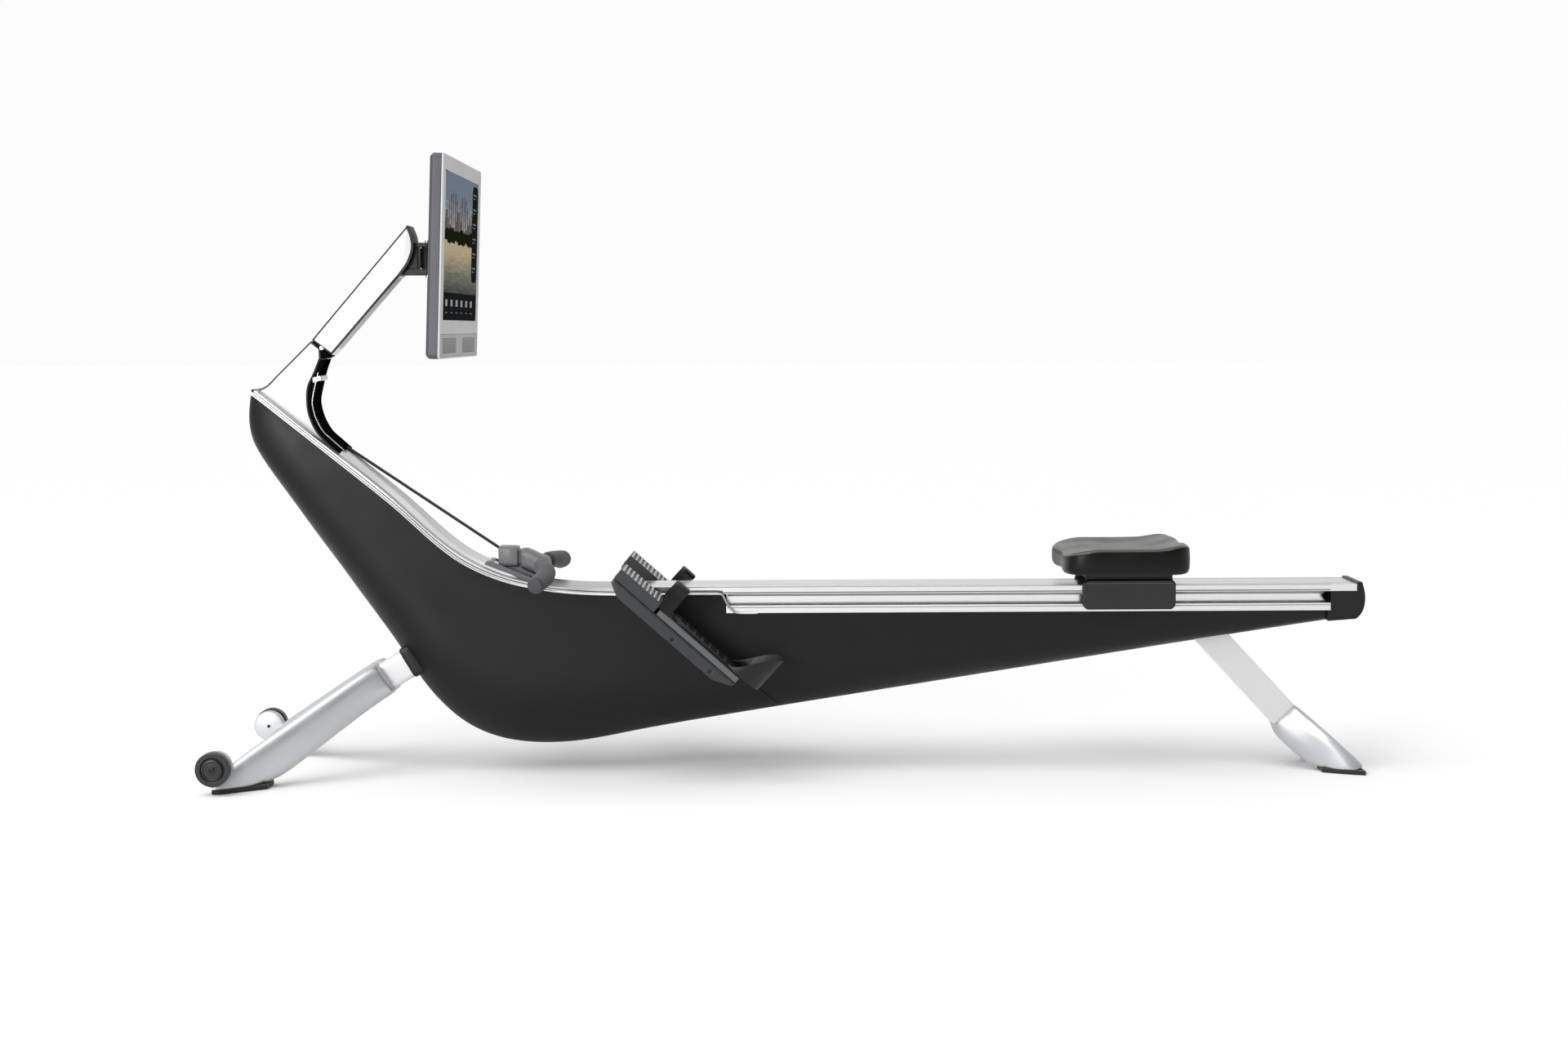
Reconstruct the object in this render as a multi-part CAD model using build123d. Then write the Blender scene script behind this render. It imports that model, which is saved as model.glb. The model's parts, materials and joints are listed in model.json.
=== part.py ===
from build123d import *
import math
import os

# Rowing machine with a drum-and-strap drive, a folding display arm and a rolling seat.
# +X runs towards the seat end, +Z is up and Y is across. The origin is on the floor
# under the middle of the machine. Every length is in millimetres.

# Rail and hull
rail_half = 63.5
rail_top = 363
rail_flange = 14
rail_ledge_top = 326.5
rail_bottom = 312
rail_front = -120
deck_rear = -300
rail_rear = 1041
rail_tip = 1091
machine_tail = 1107
hull_half = 70
hull_wall = 3
seam_gap = 1
floor_gap = 8.5

# The hull's upper edge, which the silver deck follows from the bow down to the rail
lip_points = [(-1021, 737), (-867, 613), (-758, 524), (-671, 445), (-600, 398), (-520, 369),
              (-421, 353), (deck_rear, 349)]
deck_thick = 10
spine_half = 46

# Display arm
arm_half = 34
hinge_x, hinge_z = -893, 824
swivel_x = -692
tilt_x, tilt_z = -672, 993
pin_radius = 4
running_gap = 0.05

# Display
display_width = 556
display_height = 373
display_depth = 26
screen_width = 487
screen_height = 274
screen_above_middle = 22
display_lean = 2.2
display_x, display_z = -626.5, 990

# Footboards
board_slope = 41.5
board_x, board_z = -326, 394
board_y = 140
board_length = 300
board_half = 55
shell_depth = 25
guide_height = 11.5

# Seat
seat_front, seat_rear = 524, 762
seat_half = 150
seat_bottom = 388
carriage_front, carriage_rear = 564, 742
roller_radius = 10
low_roller_radius = 9.5
rolling_gap = 0.3

# Drive
flywheel_x, flywheel_z, flywheel_radius = -575, 200, 105
drive_x, drive_z = -385, 215
spool_radius = 36
pulley_radius = 68
small_pulley_radius = 18
belt_y = 28
exit_x, exit_z, exit_radius = -868, 626, 12
strap_half = 13
strap_thick = 3
strap_end_x, strap_end_z = -560, 440

# Handle
grip_radius = 15
bar_radius = 10
grip_start = 48
grip_end = 254

# Transport wheels
wheel_x, wheel_y, wheel_z = -1065, 266, 50
wheel_radius = 32
wheel_width = 20


def save(name, *pieces):
    shape = pieces[0] if len(pieces) == 1 else Compound(children=list(pieces))
    export_step(shape, f"parts/{name}.step")


def outline(*points):
    return make_face(Polyline(*points, close=True))


def slab(sketch, width, y=0):
    """A side view, drawn in X and Z, given a width across the machine."""
    return Pos(0, y, 0) * extrude(Plane.XZ * sketch, width / 2, both=True)


def block(x0, x1, y0, y1, z0, z1):
    return Pos((x0 + x1) / 2, (y0 + y1) / 2, (z0 + z1) / 2) * Box(x1 - x0, y1 - y0, z1 - z0)


def rod_y(x, y, z, radius, length):
    return Pos(x, y, z) * Rot(90, 0, 0) * Cylinder(radius, length)


def largest(shape):
    """A cut piece without the crumbs that the cut left."""
    return max(shape.solids(), key=lambda solid: solid.volume)


def other_side(part):
    return mirror(part, about=Plane.XZ)


def both_sides(part):
    return [part, other_side(part)]


# ---------------------------------------------------------------- hull

# Each station runs from the hull's upper edge to its keel, with its half width at the top
hull_stations = [
    ((-1024, 739), (-1034, 730), 30),
    ((-1013, 731), (-1036, 700), 48),
    ((-985, 708), (-1033, 655), 60),
    ((-945, 676), (-1012, 609), 66),
    ((-867, 613), (-962, 536), hull_half),
    ((-812, 569), (-914, 467), hull_half),
    ((-758, 524), (-865, 399), hull_half),
    ((-714, 484), (-825, 342), hull_half),
    ((-671, 445), (-785, 286), hull_half),
    ((-641, 423), (-750, 234), hull_half),
    ((-612, 404), (-712, 176), hull_half),
    ((-578, 390), (-677, 134), hull_half),
    ((-545, 377), (-640, 101), hull_half),
    ((-480, 361), (-555, 62), hull_half),
    ((-410, 353), (-440, 54), hull_half - 1),
    ((-300, 349), (-310, 74), hull_half - 3),
    ((-125, 349), (-125, 106), hull_half - 5),
]
keel_start, keel_end = (20, 129), (1035, 288)
for step in range(8):
    tail_x = keel_start[0] + (keel_end[0] - keel_start[0]) * step / 7
    keel_z = keel_start[1] + (keel_end[1] - keel_start[1]) * step / 7
    hull_stations.append(((tail_x, rail_top - rail_flange), (tail_x, keel_z), rail_half + 0.5))


def station_plane(top, keel):
    """The plane through both ends of a station, with Y across and the keel downwards."""
    down = Vector(keel[0] - top[0], 0, keel[1] - top[1])
    unit = down.normalized()
    return Plane(origin=(top[0], 0, top[1]), x_dir=(0, 1, 0), z_dir=(unit.Z, 0, -unit.X)), down.length


def u_curve(half, depth):
    """A U that keeps its width down the side and rounds under to the keel."""
    side = [(half, 0), (0.99 * half, 0.4 * depth), (0.8 * half, 0.82 * depth)]
    mirrored = [(-y, z) for y, z in reversed(side)]
    return Spline(*side, (0, depth), *mirrored)


def solid_section(top, keel, half):
    plane, depth = station_plane(top, keel)
    return plane * make_face(u_curve(half, depth) + Line((-half, 0), (half, 0)))


def wall_section(top, keel, half):
    """The hull's wall at one station, open along the upper edge."""
    plane, depth = station_plane(top, keel)
    inner = half - hull_wall
    rims = Line((-half, 0), (-inner, 0)) + Line((inner, 0), (half, 0))
    return plane * make_face(u_curve(half, depth) + u_curve(inner, depth - hull_wall) + rims)


def hull_solids():
    shell = loft([wall_section(*station) for station in hull_stations])
    step = make_face(
        Line((-125, 349), (-125, 460)) + Line((-125, 460), (1200, 460))
        + Line((1200, 460), (1200, rail_bottom)) + Line((1200, rail_bottom), (-98, rail_bottom))
        + ThreePointArc((-98, rail_bottom), (-117, 325), (-125, 349))
    )
    shell -= slab(step, 200)
    along = Vector(-58, 0, 53).normalized()
    seam = Plane(origin=(-15, 0, 126), x_dir=(0, 1, 0), z_dir=(-along.Z, 0, along.X))
    front = split(shell, seam.offset(seam_gap / 2), keep=Keep.TOP)
    rear = split(shell, seam.offset(-seam_gap / 2), keep=Keep.BOTTOM)
    return front, rear


# ---------------------------------------------------------------- deck, neck and rail

def lip_curve():
    return Spline(*lip_points)


def above_lip(share, height):
    """A point at a height square to the hull's upper edge."""
    curve = lip_curve()
    spot = curve @ share
    along = curve % share
    return (spot.X - along.Y * height, spot.Y + along.X * height)


def make_deck(width):
    shares = [0, 0.2, 0.4, 0.55, 0.7, 0.85]
    top = [above_lip(share, deck_thick) for share in shares] + [(deck_rear, rail_top)]
    sketch = make_face(
        lip_curve() + Line(lip_points[-1], top[-1]) + Spline(*reversed(top)) + Line(top[0], lip_points[0])
    )
    return slab(sketch, width)


def make_spine(deck):
    sections = []
    for share in (0.22, 0.32, 0.42, 0.52, 0.585):
        low = above_lip(share, deck_thick - 3)
        high = above_lip(share, 23)
        sections.append(solid_section(low, high, spine_half))
    return loft(sections) - deck


neck_right = [(-890, 808), (-906, 772), (-916, 733), (-911, 690), (-886, 650), (-852, 622)]


def make_neck(deck):
    foot = above_lip(0, deck_thick - 2)
    sketch = make_face(
        Spline(*neck_right) + Line(neck_right[-1], above_lip(0.25, 8)) + Line(above_lip(0.25, 8), foot)
        + Line(foot, (-1031, 745)) + Spline((-1031, 745), (-1004, 750), (-975, 777), (-919, 832))
        + Line((-919, 832), neck_right[0])
    )
    return slab(sketch, 2 * arm_half) - deck


def make_neck_channel():
    """The dark lining of the neck's hollow side, with the strap's slot down its middle."""
    outer = [(x + 9, z + 3) for x, z in neck_right[1:]]
    inner = [(x - 3, z - 1) for x, z in neck_right[1:]]
    sketch = make_face(
        Spline(*inner) + Line(inner[-1], outer[-1]) + Spline(*reversed(outer)) + Line(outer[0], inner[0])
    )
    groove = slab(make_face(
        Spline(*[(x + 8, z + 3) for x, z in inner]) + Line((-847, 624), (-820, 624))
        + Line((-820, 624), (-820, 774)) + Line((-820, 774), (-901, 774))
    ), 10)
    return slab(sketch, 2 * (arm_half - 5)) - groove


def strap_slot():
    """The way through neck and deck that the exit roller and the strap need."""
    return slab(outline((-892, 636), (-872, 656), (-852, 646), (-836, 622), (-846, 596), (-880, 606)), 34)


def make_rail():
    flange = block(deck_rear, rail_tip, -rail_half, rail_half, rail_top - rail_flange, rail_top)
    web = block(rail_front, rail_rear, -40, 40, rail_ledge_top, rail_top - rail_flange)
    ledge = block(rail_front, rail_rear, -rail_half, rail_half, rail_bottom, rail_ledge_top)
    cavity = block(rail_front - 1, rail_tip + 1, -34, 34, rail_bottom + 4, rail_top - 4)
    edge_grooves = [block(deck_rear - 1, rail_tip + 1, y - 2, y + 2, rail_top - 1.5, rail_top + 1)
                    for y in (-46, 46)]
    rail = flange + web + ledge - cavity
    for groove in edge_grooves:
        rail -= groove
    return rail


def make_end_cap():
    sketch = make_face(
        Line((1041, rail_bottom), (1035.5, rail_bottom)) + Line((1035.5, rail_bottom), (1036, 291))
        + Line((1036, 291), (1090, 295)) + Spline((1090, 295), (1103, 311), (1107, 340), (1101, 366))
        + Line((1101, 366), (rail_tip, 366)) + Line((rail_tip, 366), (rail_tip, 349))
        + Line((rail_tip, 349), (1041, 349)) + Line((1041, 349), (1041, rail_bottom))
    )
    return slab(sketch, 2 * rail_half + 1)


# ---------------------------------------------------------------- frame and feet

def post_bar(x0, z0, x1, z1, depth, width):
    """A flat bar between two points of the side view."""
    along = Vector(x1 - x0, z1 - z0).normalized()
    nx, nz = -along.Y * depth / 2, along.X * depth / 2
    return slab(outline((x0 + nx, z0 + nz), (x1 + nx, z1 + nz), (x1 - nx, z1 - nz), (x0 - nx, z0 - nz)), width)


def make_inner_frame():
    """Welded side plates that carry the drive, with a beam under the rail."""
    plate_sketch = outline((-690, 250), (-660, 206), (-620, 168), (-330, 150), (-60, 200), (-60, rail_bottom),
                           (-122, rail_bottom), (-140, 340), (-330, 340), (-480, 350), (-560, 340), (-690, 270))
    window = outline((-650, 215), (-600, 180), (-560, 180), (-560, 215), (-600, 270), (-640, 270))
    plate = slab(plate_sketch, 4, 40) - slab(window, 10, 40)
    cross = block(-110, -70, -38, 38, 210, 250) + block(-100, -60, -38, 38, 286, rail_bottom)
    beam = block(-100, 940, -28, 28, 286, rail_bottom)
    core = block(-60, 941, -24, 24, 290, 308)
    frame = plate + other_side(plate) + cross + beam - core
    for x, z in ((flywheel_x, flywheel_z), (drive_x, drive_z)):
        frame += rod_y(x, 40, z, 16, 4) + rod_y(x, -40, z, 16, 4)
        frame -= rod_y(x, 0, z, 6.02, 120)
    return frame


def front_arch_plan():
    front_edge = [(-815, 0), (-832, 28), (-905, 88), (-1005, 165), (-1074, 226)]
    rear_edge = [(-1056, 254), (-985, 206), (-880, 135), (-795, 78), (-756, 60)]
    return make_face(
        Spline(*front_edge) + Line(front_edge[-1], (-1074, 254)) + Line((-1074, 254), rear_edge[0])
        + Spline(*rear_edge) + Line(rear_edge[-1], (-756, 0)) + Line((-756, 0), front_edge[0])
    )


def rear_arch_plan():
    front_edge = [(943, 34), (998, 66), (1068, 106), (1103, 118)]
    rear_edge = [(1103, 82), (1062, 62), (1018, 30), (1006, 0)]
    return make_face(
        Line((943, 0), front_edge[0]) + Spline(*front_edge) + Line(front_edge[-1], rear_edge[0])
        + Spline(*rear_edge) + Line(rear_edge[-1], (943, 0))
    )


def two_view(side_sketch, plan_sketch):
    """A casting whose side view and plan view are both known."""
    half = slab(side_sketch, 700) & extrude(plan_sketch, 400)
    return half + other_side(half)


def make_front_arch():
    side = outline((-800, 216), (-760, 160), (-792, 142), (-893, 66), (-975, floor_gap), (-1070, floor_gap),
                   (-1074, 20), (-1034, 58), (-817, 207))
    arch = two_view(side, front_arch_plan())
    for y in (-241, 241):
        arch += rod_y(wheel_x, y, wheel_z, 30, 22)
    for y in (-241, 241):
        arch -= rod_y(wheel_x, y, wheel_z, pin_radius + 0.02, 30)
    return arch


def make_rear_arch():
    side = outline((982, 124), (1103, 14), (1103, floor_gap), (1020, floor_gap), (999, 20), (966, 47),
                   (950, 60), (941, 85))
    return two_view(side, rear_arch_plan())


def make_soles():
    front = extrude(front_arch_plan(), floor_gap) & block(-1072, -978, 0, 300, 0, floor_gap)
    rear = extrude(rear_arch_plan(), floor_gap) & block(1024, 1101, 0, 300, 0, floor_gap)
    return both_sides(front) + both_sides(rear)


def make_wheel(side):
    y = side * wheel_y
    tyre = rod_y(wheel_x, y, wheel_z, wheel_radius, wheel_width)
    dish = rod_y(wheel_x, y + side * wheel_width / 2, wheel_z, 22, 6)
    hub = rod_y(wheel_x, y + side * 2, wheel_z, 12, wheel_width)
    wheel = tyre - dish + hub - rod_y(wheel_x, y, wheel_z, pin_radius + running_gap, 60)
    return wheel - block(-1200, -900, side * 278 - 1, side * 278 + 1, 0, 200)


# ---------------------------------------------------------------- footboards

def board_frame(side):
    slope = math.radians(board_slope)
    return Plane(origin=(board_x, side * board_y, board_z), x_dir=(math.cos(slope), 0, -math.sin(slope)),
                 z_dir=(math.sin(slope), 0, math.cos(slope)))


def board_slab(sketch, half):
    return extrude(Plane.XZ * sketch, half, both=True)


def make_board_shell():
    sketch = outline((0, 0), (board_length, 0), (board_length, -9), (262, -shell_depth), (28, -shell_depth), (0, -10))
    shell = board_slab(sketch, board_half)
    for s, h in ((158, -16), (250, -15)):
        for y in (-board_half, board_half):
            shell -= rod_y(s, y, h, 4, 8)
    return shell


def make_board_guide():
    channel = block(103, board_length + 1, -18.4, 18.4, 4, guide_height + 1)
    return block(104, board_length, -board_half, board_half, 0, guide_height) - channel


def make_toe_pad():
    pad = block(0, 97.5, -board_half, board_half, 0, 22) - block(42, 99, -47, 47, -1, 18.6)
    for row in range(10):
        pad -= block(6 + 9.5 * row, 9.5 + 9.5 * row, -46, 46, 20, 23)
    return pad


def arch_sketch(half, top):
    return Pos(0, 30) * Ellipse(half, top - 30) + Pos(0, 10) * Rectangle(2 * half, 40)


def make_foot_strap():
    band = arch_sketch(54, 77) - arch_sketch(51, 74)
    strap = Pos(98, 0, 0) * extrude(Plane.YZ * band, 38)
    return strap & block(90, 150, -60, 60, guide_height, 80)


def make_buckle():
    outer = Pos(90, 0, 0) * extrude(Plane.YZ * arch_sketch(54, 77), 60)
    cap = block(108, 140, -19, 19, 70, 84)
    return fillet(cap.edges().filter_by(Axis.Z), 5) - outer


def make_heel_slider():
    """Plate, key and raised cup that slide along the guide."""
    plate = block(130, 300, -46, 46, guide_height + 0.4, 18)
    key = block(134, 290, -18, 18, 4.4, guide_height + 1)
    toe_slots = [block(150 + 22 * step, 160 + 22 * step, -26, 26, 14, 19) for step in range(6)]
    centre = 294
    ring = Pos(centre, 0, 12) * Cylinder(52, 76, align=(Align.CENTER, Align.CENTER, Align.MIN))
    hollow = Pos(centre, 0, 17) * Cylinder(47, 80, align=(Align.CENTER, Align.CENTER, Align.MIN))
    slope_cut = board_slab(outline((230, 18), (272, 18), (300, 36), (333, 62), (350, 92), (230, 92)), 80)
    cup = ring - hollow - slope_cut - block(200, 262, -60, 60, 0, 100)
    slider = plate + key + cup
    for slot in toe_slots:
        slider -= slot
    return slider


def make_board_screws(side):
    heads = []
    for s, h in ((158, -16), (250, -15)):
        y = side * (board_half - 2)
        heads.append(rod_y(s, y, h, 3.98, 4) - rod_y(s, y + side * 2, h, 1.8, 2))
    return heads


def make_board_mount():
    """The bracket between hull and footboard, on the board's inner edge."""
    return block(70, 230, -board_half - 14.5, -board_half, -22, -4)


# ---------------------------------------------------------------- handle and drive

def bar_path():
    points = [(-468, -250, 386), (-455, -190, 395), (-454, -140, 400), (-478, -52, 405), (-482, 0, 406),
              (-478, 52, 405), (-454, 140, 400), (-455, 190, 395), (-468, 250, 386)]
    return FilletPolyline(*points, radius=60)


def grip_path(reach):
    end = (-468 - 0.2 * (reach - 250), reach, 386 - 0.15 * (reach - 250))
    return FilletPolyline((-475.8, 60, 404.55), (-454, 140, 400), (-455, 190, 395), end, radius=60)


def tube_along(path, radius):
    section = Plane(origin=path @ 0, z_dir=path % 0) * Circle(radius)
    return sweep(section, path=path)


def make_grip():
    return tube_along(grip_path(grip_end), grip_radius) - tube_along(grip_path(251), bar_radius + 0.02)


def make_yoke(bar):
    clamp = block(strap_end_x, -522, -28, 28, 401, 439)
    neck_piece = block(-524, -514, -20, 20, 406, 434)
    stem = block(-516, -482, -24, 24, 393, 434)
    stem = fillet(stem.edges().filter_by(Axis.Y), 6)
    slot_sketch = outline((-562, 446), (-562, 430), (-540, 424), (-540, 430))
    return clamp + neck_piece + stem - bar - slab(slot_sketch, 2 * strap_half + 2)


def strap_line():
    """Where the strap leaves the exit roller, and its direction to the handle."""
    gap_x, gap_z = strap_end_x - exit_x, strap_end_z - exit_z
    along = Vector(gap_x, gap_z).normalized()
    start = (exit_x - along.Y * (exit_radius + 2), exit_z + along.X * (exit_radius + 2))
    return start


def make_pull_strap():
    start = strap_line()
    return post_bar(start[0], start[1], strap_end_x - 0.2, strap_end_z - 5, strap_thick, 2 * strap_half)


def make_inner_strap():
    """The hidden run, from the exit roller down the hull and back to the drum."""
    path = [(exit_x - 10, exit_z - 16), (-640, 392), (drive_x + 4, drive_z + spool_radius + 4)]
    runs = [post_bar(*path[0], *path[1], 2, 2 * strap_half), post_bar(*path[1], *path[2], 2, 2 * strap_half)]
    return runs[0] + runs[1]


def make_exit_roller():
    return rod_y(exit_x, 0, exit_z, exit_radius, 28) - rod_y(exit_x, 0, exit_z, pin_radius + running_gap, 40)


def make_spool():
    drum = rod_y(drive_x, 0, drive_z, spool_radius, 28)
    cheeks = rod_y(drive_x, -15, drive_z, spool_radius + 8, 2) + rod_y(drive_x, 15, drive_z, spool_radius + 8, 2)
    return drum + cheeks - rod_y(drive_x, 0, drive_z, 6 + running_gap, 60)


def make_drive_pulley():
    rim = rod_y(drive_x, belt_y, drive_z, pulley_radius, 12)
    for hole in range(5):
        angle = math.radians(72 * hole)
        rim -= rod_y(drive_x + 42 * math.cos(angle), belt_y, drive_z + 42 * math.sin(angle), 15, 20)
    return rim - rod_y(drive_x, belt_y, drive_z, 6 + running_gap, 60)


def make_flywheel():
    disc = rod_y(flywheel_x, 0, flywheel_z, flywheel_radius, 12)
    for hole in range(6):
        angle = math.radians(60 * hole)
        disc -= rod_y(flywheel_x + 58 * math.cos(angle), 0, flywheel_z + 58 * math.sin(angle), 14, 20)
    hub = rod_y(flywheel_x, 14, flywheel_z, 14, 40)
    pulley = rod_y(flywheel_x, belt_y, flywheel_z, small_pulley_radius, 12)
    return disc + hub + pulley - rod_y(flywheel_x, 0, flywheel_z, 6 + running_gap, 90)


def make_belt():
    """A flat belt round the two pulleys, drawn as the outline of both rims."""
    gap_x, gap_z = drive_x - flywheel_x, drive_z - flywheel_z
    span = math.hypot(gap_x, gap_z)
    lean = math.degrees(math.atan2(gap_z, gap_x))
    spread = math.degrees(math.acos((small_pulley_radius - pulley_radius) / span))
    rings = []
    for extra in (2.2, 0.3):
        corners = []
        for cx, cz, radius in ((flywheel_x, flywheel_z, small_pulley_radius), (drive_x, drive_z, pulley_radius)):
            for turn in (spread, -spread):
                angle = math.radians(lean + turn)
                reach = radius + extra
                corners.append((cx + reach * math.cos(angle), cz + reach * math.sin(angle)))
        hull = outline(corners[0], corners[2], corners[3], corners[1])
        ends = Pos(flywheel_x, flywheel_z) * Circle(small_pulley_radius + extra)
        ends += Pos(drive_x, drive_z) * Circle(pulley_radius + extra)
        rings.append(hull + ends)
    return slab(rings[0] - rings[1], 10, belt_y)


def make_magnet_brake():
    """A U-shaped eddy-current brake round the flywheel's upper front rim."""
    angle = math.radians(140)
    x = flywheel_x + (flywheel_radius - 6) * math.cos(angle)
    z = flywheel_z + (flywheel_radius - 6) * math.sin(angle)
    return block(x - 26, x + 26, -38, 38, z - 26, z + 26) - rod_y(flywheel_x, 0, flywheel_z, flywheel_radius + 4, 18)


def make_cradle(deck, spine):
    """A shallow trough that the handle rests in, with a lip at its front."""
    pad = slab(outline((-588, 398), (-588, 404), (-582, 412), (-574, 412), (-500, 382), (-482, 372), (-482, 366.5),
                       (-540, 381.5)), 80)
    trough = slab(outline((-571, 440), (-571, 401.5), (-520, 382.5), (-470, 373), (-470, 440)), 66)
    return pad - trough - deck - spine


# ---------------------------------------------------------------- arm and display

def arm_sketch():
    return make_face(
        Line((-912, 839), (-874, 810)) + Line((-874, 810), (-742, 960))
        + Spline((-742, 960), (-723, 987), (-715, 1013), (-717, 1036), (-725, 1057))
        + Line((-725, 1057), (-912, 839))
    )


def make_arm():
    hinge_cut = rod_y(hinge_x, 0, hinge_z, 13, 28)
    beam = slab(arm_sketch(), 2 * arm_half) - hinge_cut
    strip = slab(outline((-862, 821), (-871, 829), (-752, 965), (-743, 957)), 2 * arm_half - 12)
    cap_zone = block(-790, -700, -60, 60, 1010, 1100)
    cap = beam & cap_zone
    beam = beam - cap_zone
    strip = strip & beam
    beam = beam - strip
    for y in (-24, 24):
        beam += rod_y(hinge_x, y, hinge_z, 11, 20)
    return beam - rod_y(hinge_x, 0, hinge_z, pin_radius + running_gap, 90), strip, cap


def hinge_room():
    """The clearance that the arm's knuckles need in the top of the neck."""
    return rod_y(hinge_x, 24, hinge_z, 12, 21) + rod_y(hinge_x, -24, hinge_z, 12, 21)


def corner_room():
    """The corner of the neck that the arm's lower corner sweeps through as it folds."""
    sweep = rod_y(hinge_x, 0, hinge_z, 25, 100)
    return sweep & block(hinge_x - 0.5, hinge_x + 40, -50, 50, hinge_z - 40, hinge_z - 12)


def make_swivel_base(arm_solid):
    top = block(-724, -692, -22, 22, 1016, 1024) + Pos(swivel_x, 0, 1020) * Cylinder(22, 8)
    low = block(-738, -692, -22, 22, 962, 974) + Pos(swivel_x, 0, 968) * Cylinder(22, 12)
    web = block(-728, -708, -20, 20, 962, 1024)
    pin = Pos(swivel_x, 0, 993) * Cylinder(pin_radius, 72)
    base = top + low + web - arm_solid
    return base - Pos(swivel_x, 0, 993) * Cylinder(pin_radius + 0.02, 80), pin


def make_swivel_barrel():
    barrel = Pos(swivel_x, 0, 995) * Cylinder(11, 41.4)
    tongue = block(swivel_x, tilt_x, -11, 11, 984, 1002)
    knuckle = rod_y(tilt_x, 0, tilt_z, 9, 22)
    return (barrel + tongue + knuckle - Pos(swivel_x, 0, 995) * Cylinder(pin_radius + running_gap, 60)
            - rod_y(tilt_x, 0, tilt_z, pin_radius + running_gap, 60))


def display_frame():
    """Across, up and out of the screen, from the middle of the display's face."""
    lean = math.radians(display_lean)
    return Plane(origin=(display_x, 0, display_z), x_dir=(0, 1, 0), z_dir=(math.cos(lean), 0, -math.sin(lean)))


def make_display():
    frame = display_frame()
    tray = Pos(0, 0, -display_depth) * extrude(RectangleRounded(display_width, display_height, 9), display_depth - 4)
    tray = chamfer(tray.faces().sort_by(Axis.Z)[0].edges(), 6)
    room = Pos(0, 0, -display_depth + 3) * extrude(Rectangle(display_width - 8, display_height - 8), 30)
    housing = tray - room
    window = Pos(0, screen_above_middle) * Rectangle(screen_width, screen_height)
    low_window = Pos(0, -display_height / 2 + 25) * Rectangle(display_width - 16, 42)
    face = Pos(0, 0, -4) * extrude(RectangleRounded(display_width, display_height, 9) - window - low_window, 4)
    glass = Pos(0, screen_above_middle, -4) * Box(screen_width - 0.4, screen_height - 0.4, 3,
                                                  align=(Align.CENTER, Align.CENTER, Align.MIN))
    panel = block(8.2 - display_width / 2, display_width / 2 - 8.2, -display_height / 2 + 4.2, -display_height / 2 + 45.8,
                  -4.5, -0.5)
    grille_pockets = [block(x - 92, x + 92, -display_height / 2 + 10, -display_height / 2 + 38, -2.5, 1)
                      for x in (-140, 140)]
    grilles = [block(x - 91.8, x + 91.8, -display_height / 2 + 10.2, -display_height / 2 + 37.8, -2.5, -0.3)
               for x in (-140, 140)]
    for pocket in grille_pockets:
        panel -= pocket
    lean = math.radians(display_lean)
    ears = []
    for y in (-17, 17):
        ears.append(rod_y(tilt_x, y, tilt_z, 9, 7.6) + block(tilt_x, -651, y - 3.8, y + 3.8, 984, 1002))
    plate = frame * (Pos(0, 3, -display_depth - 4) * extrude(RectangleRounded(100, 100, 8), 4))
    mount = plate + ears[0] + ears[1] - frame * block(-300, 300, -200, 200, -display_depth, 10)
    mount -= rod_y(tilt_x, 0, tilt_z, pin_radius + 0.02, 80)
    pieces = {"display_housing": frame * housing, "display_face": frame * face,
              "screen": frame * glass, "speaker_panel": frame * panel,
              "speaker_grilles": [frame * grille for grille in grilles], "display_mount": mount,
              "tilt_pin": rod_y(tilt_x, 0, tilt_z, pin_radius, 44)}
    return pieces


# ---------------------------------------------------------------- seat

def make_seat_pad():
    mid_x = (seat_front + seat_rear) / 2
    pad = Pos(mid_x, 0, seat_bottom) * extrude(RectangleRounded(seat_rear - seat_front, 2 * seat_half, 50), 55)
    pad -= Pos(mid_x - 10, 0, 434 + 900) * Rot(90, 0, 0) * Cylinder(900, 2 * seat_half + 20)
    return fillet(pad.faces().sort_by(Axis.Z)[0].edges(), 8)


top_roller_z = rail_top + rolling_gap + roller_radius
low_roller_z = rail_top - rail_flange - rolling_gap - low_roller_radius
roller_places = {"rollers_front": (595, top_roller_z), "rollers_rear": (711, top_roller_z),
                 "rollers_under": (653, low_roller_z)}


def make_rollers(name):
    x, z = roller_places[name]
    radius = low_roller_radius if name == "rollers_under" else roller_radius
    roller = rod_y(x, 54, z, radius, 12) - rod_y(x, 54, z, pin_radius + running_gap, 20)
    return both_sides(roller)


def make_carriage_frame():
    front, rear = carriage_front + 6, carriage_rear - 6
    plate = block(front, rear, -68, 68, 384, seat_bottom)
    side = block(front, rear, 64.8, 68, 330, 386)
    frame = plate + side + other_side(side)
    for x, z in roller_places.values():
        frame -= rod_y(x, 0, z, pin_radius + 0.02, 160)
    return frame


def make_roller_axles():
    axles = []
    for name, (x, z) in roller_places.items():
        if name == "rollers_under":
            axles += both_sides(rod_y(x, 57, z, pin_radius, 22))
        else:
            axles.append(rod_y(x, 0, z, pin_radius, 136))
    return axles


def make_carriage_covers():
    mid_x = (carriage_front + carriage_rear) / 2
    plate = Pos(mid_x, 345) * RectangleRounded(carriage_rear - carriage_front, 58, 12)
    return both_sides(slab(plate, 6, 71))


# ---------------------------------------------------------------- build

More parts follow.
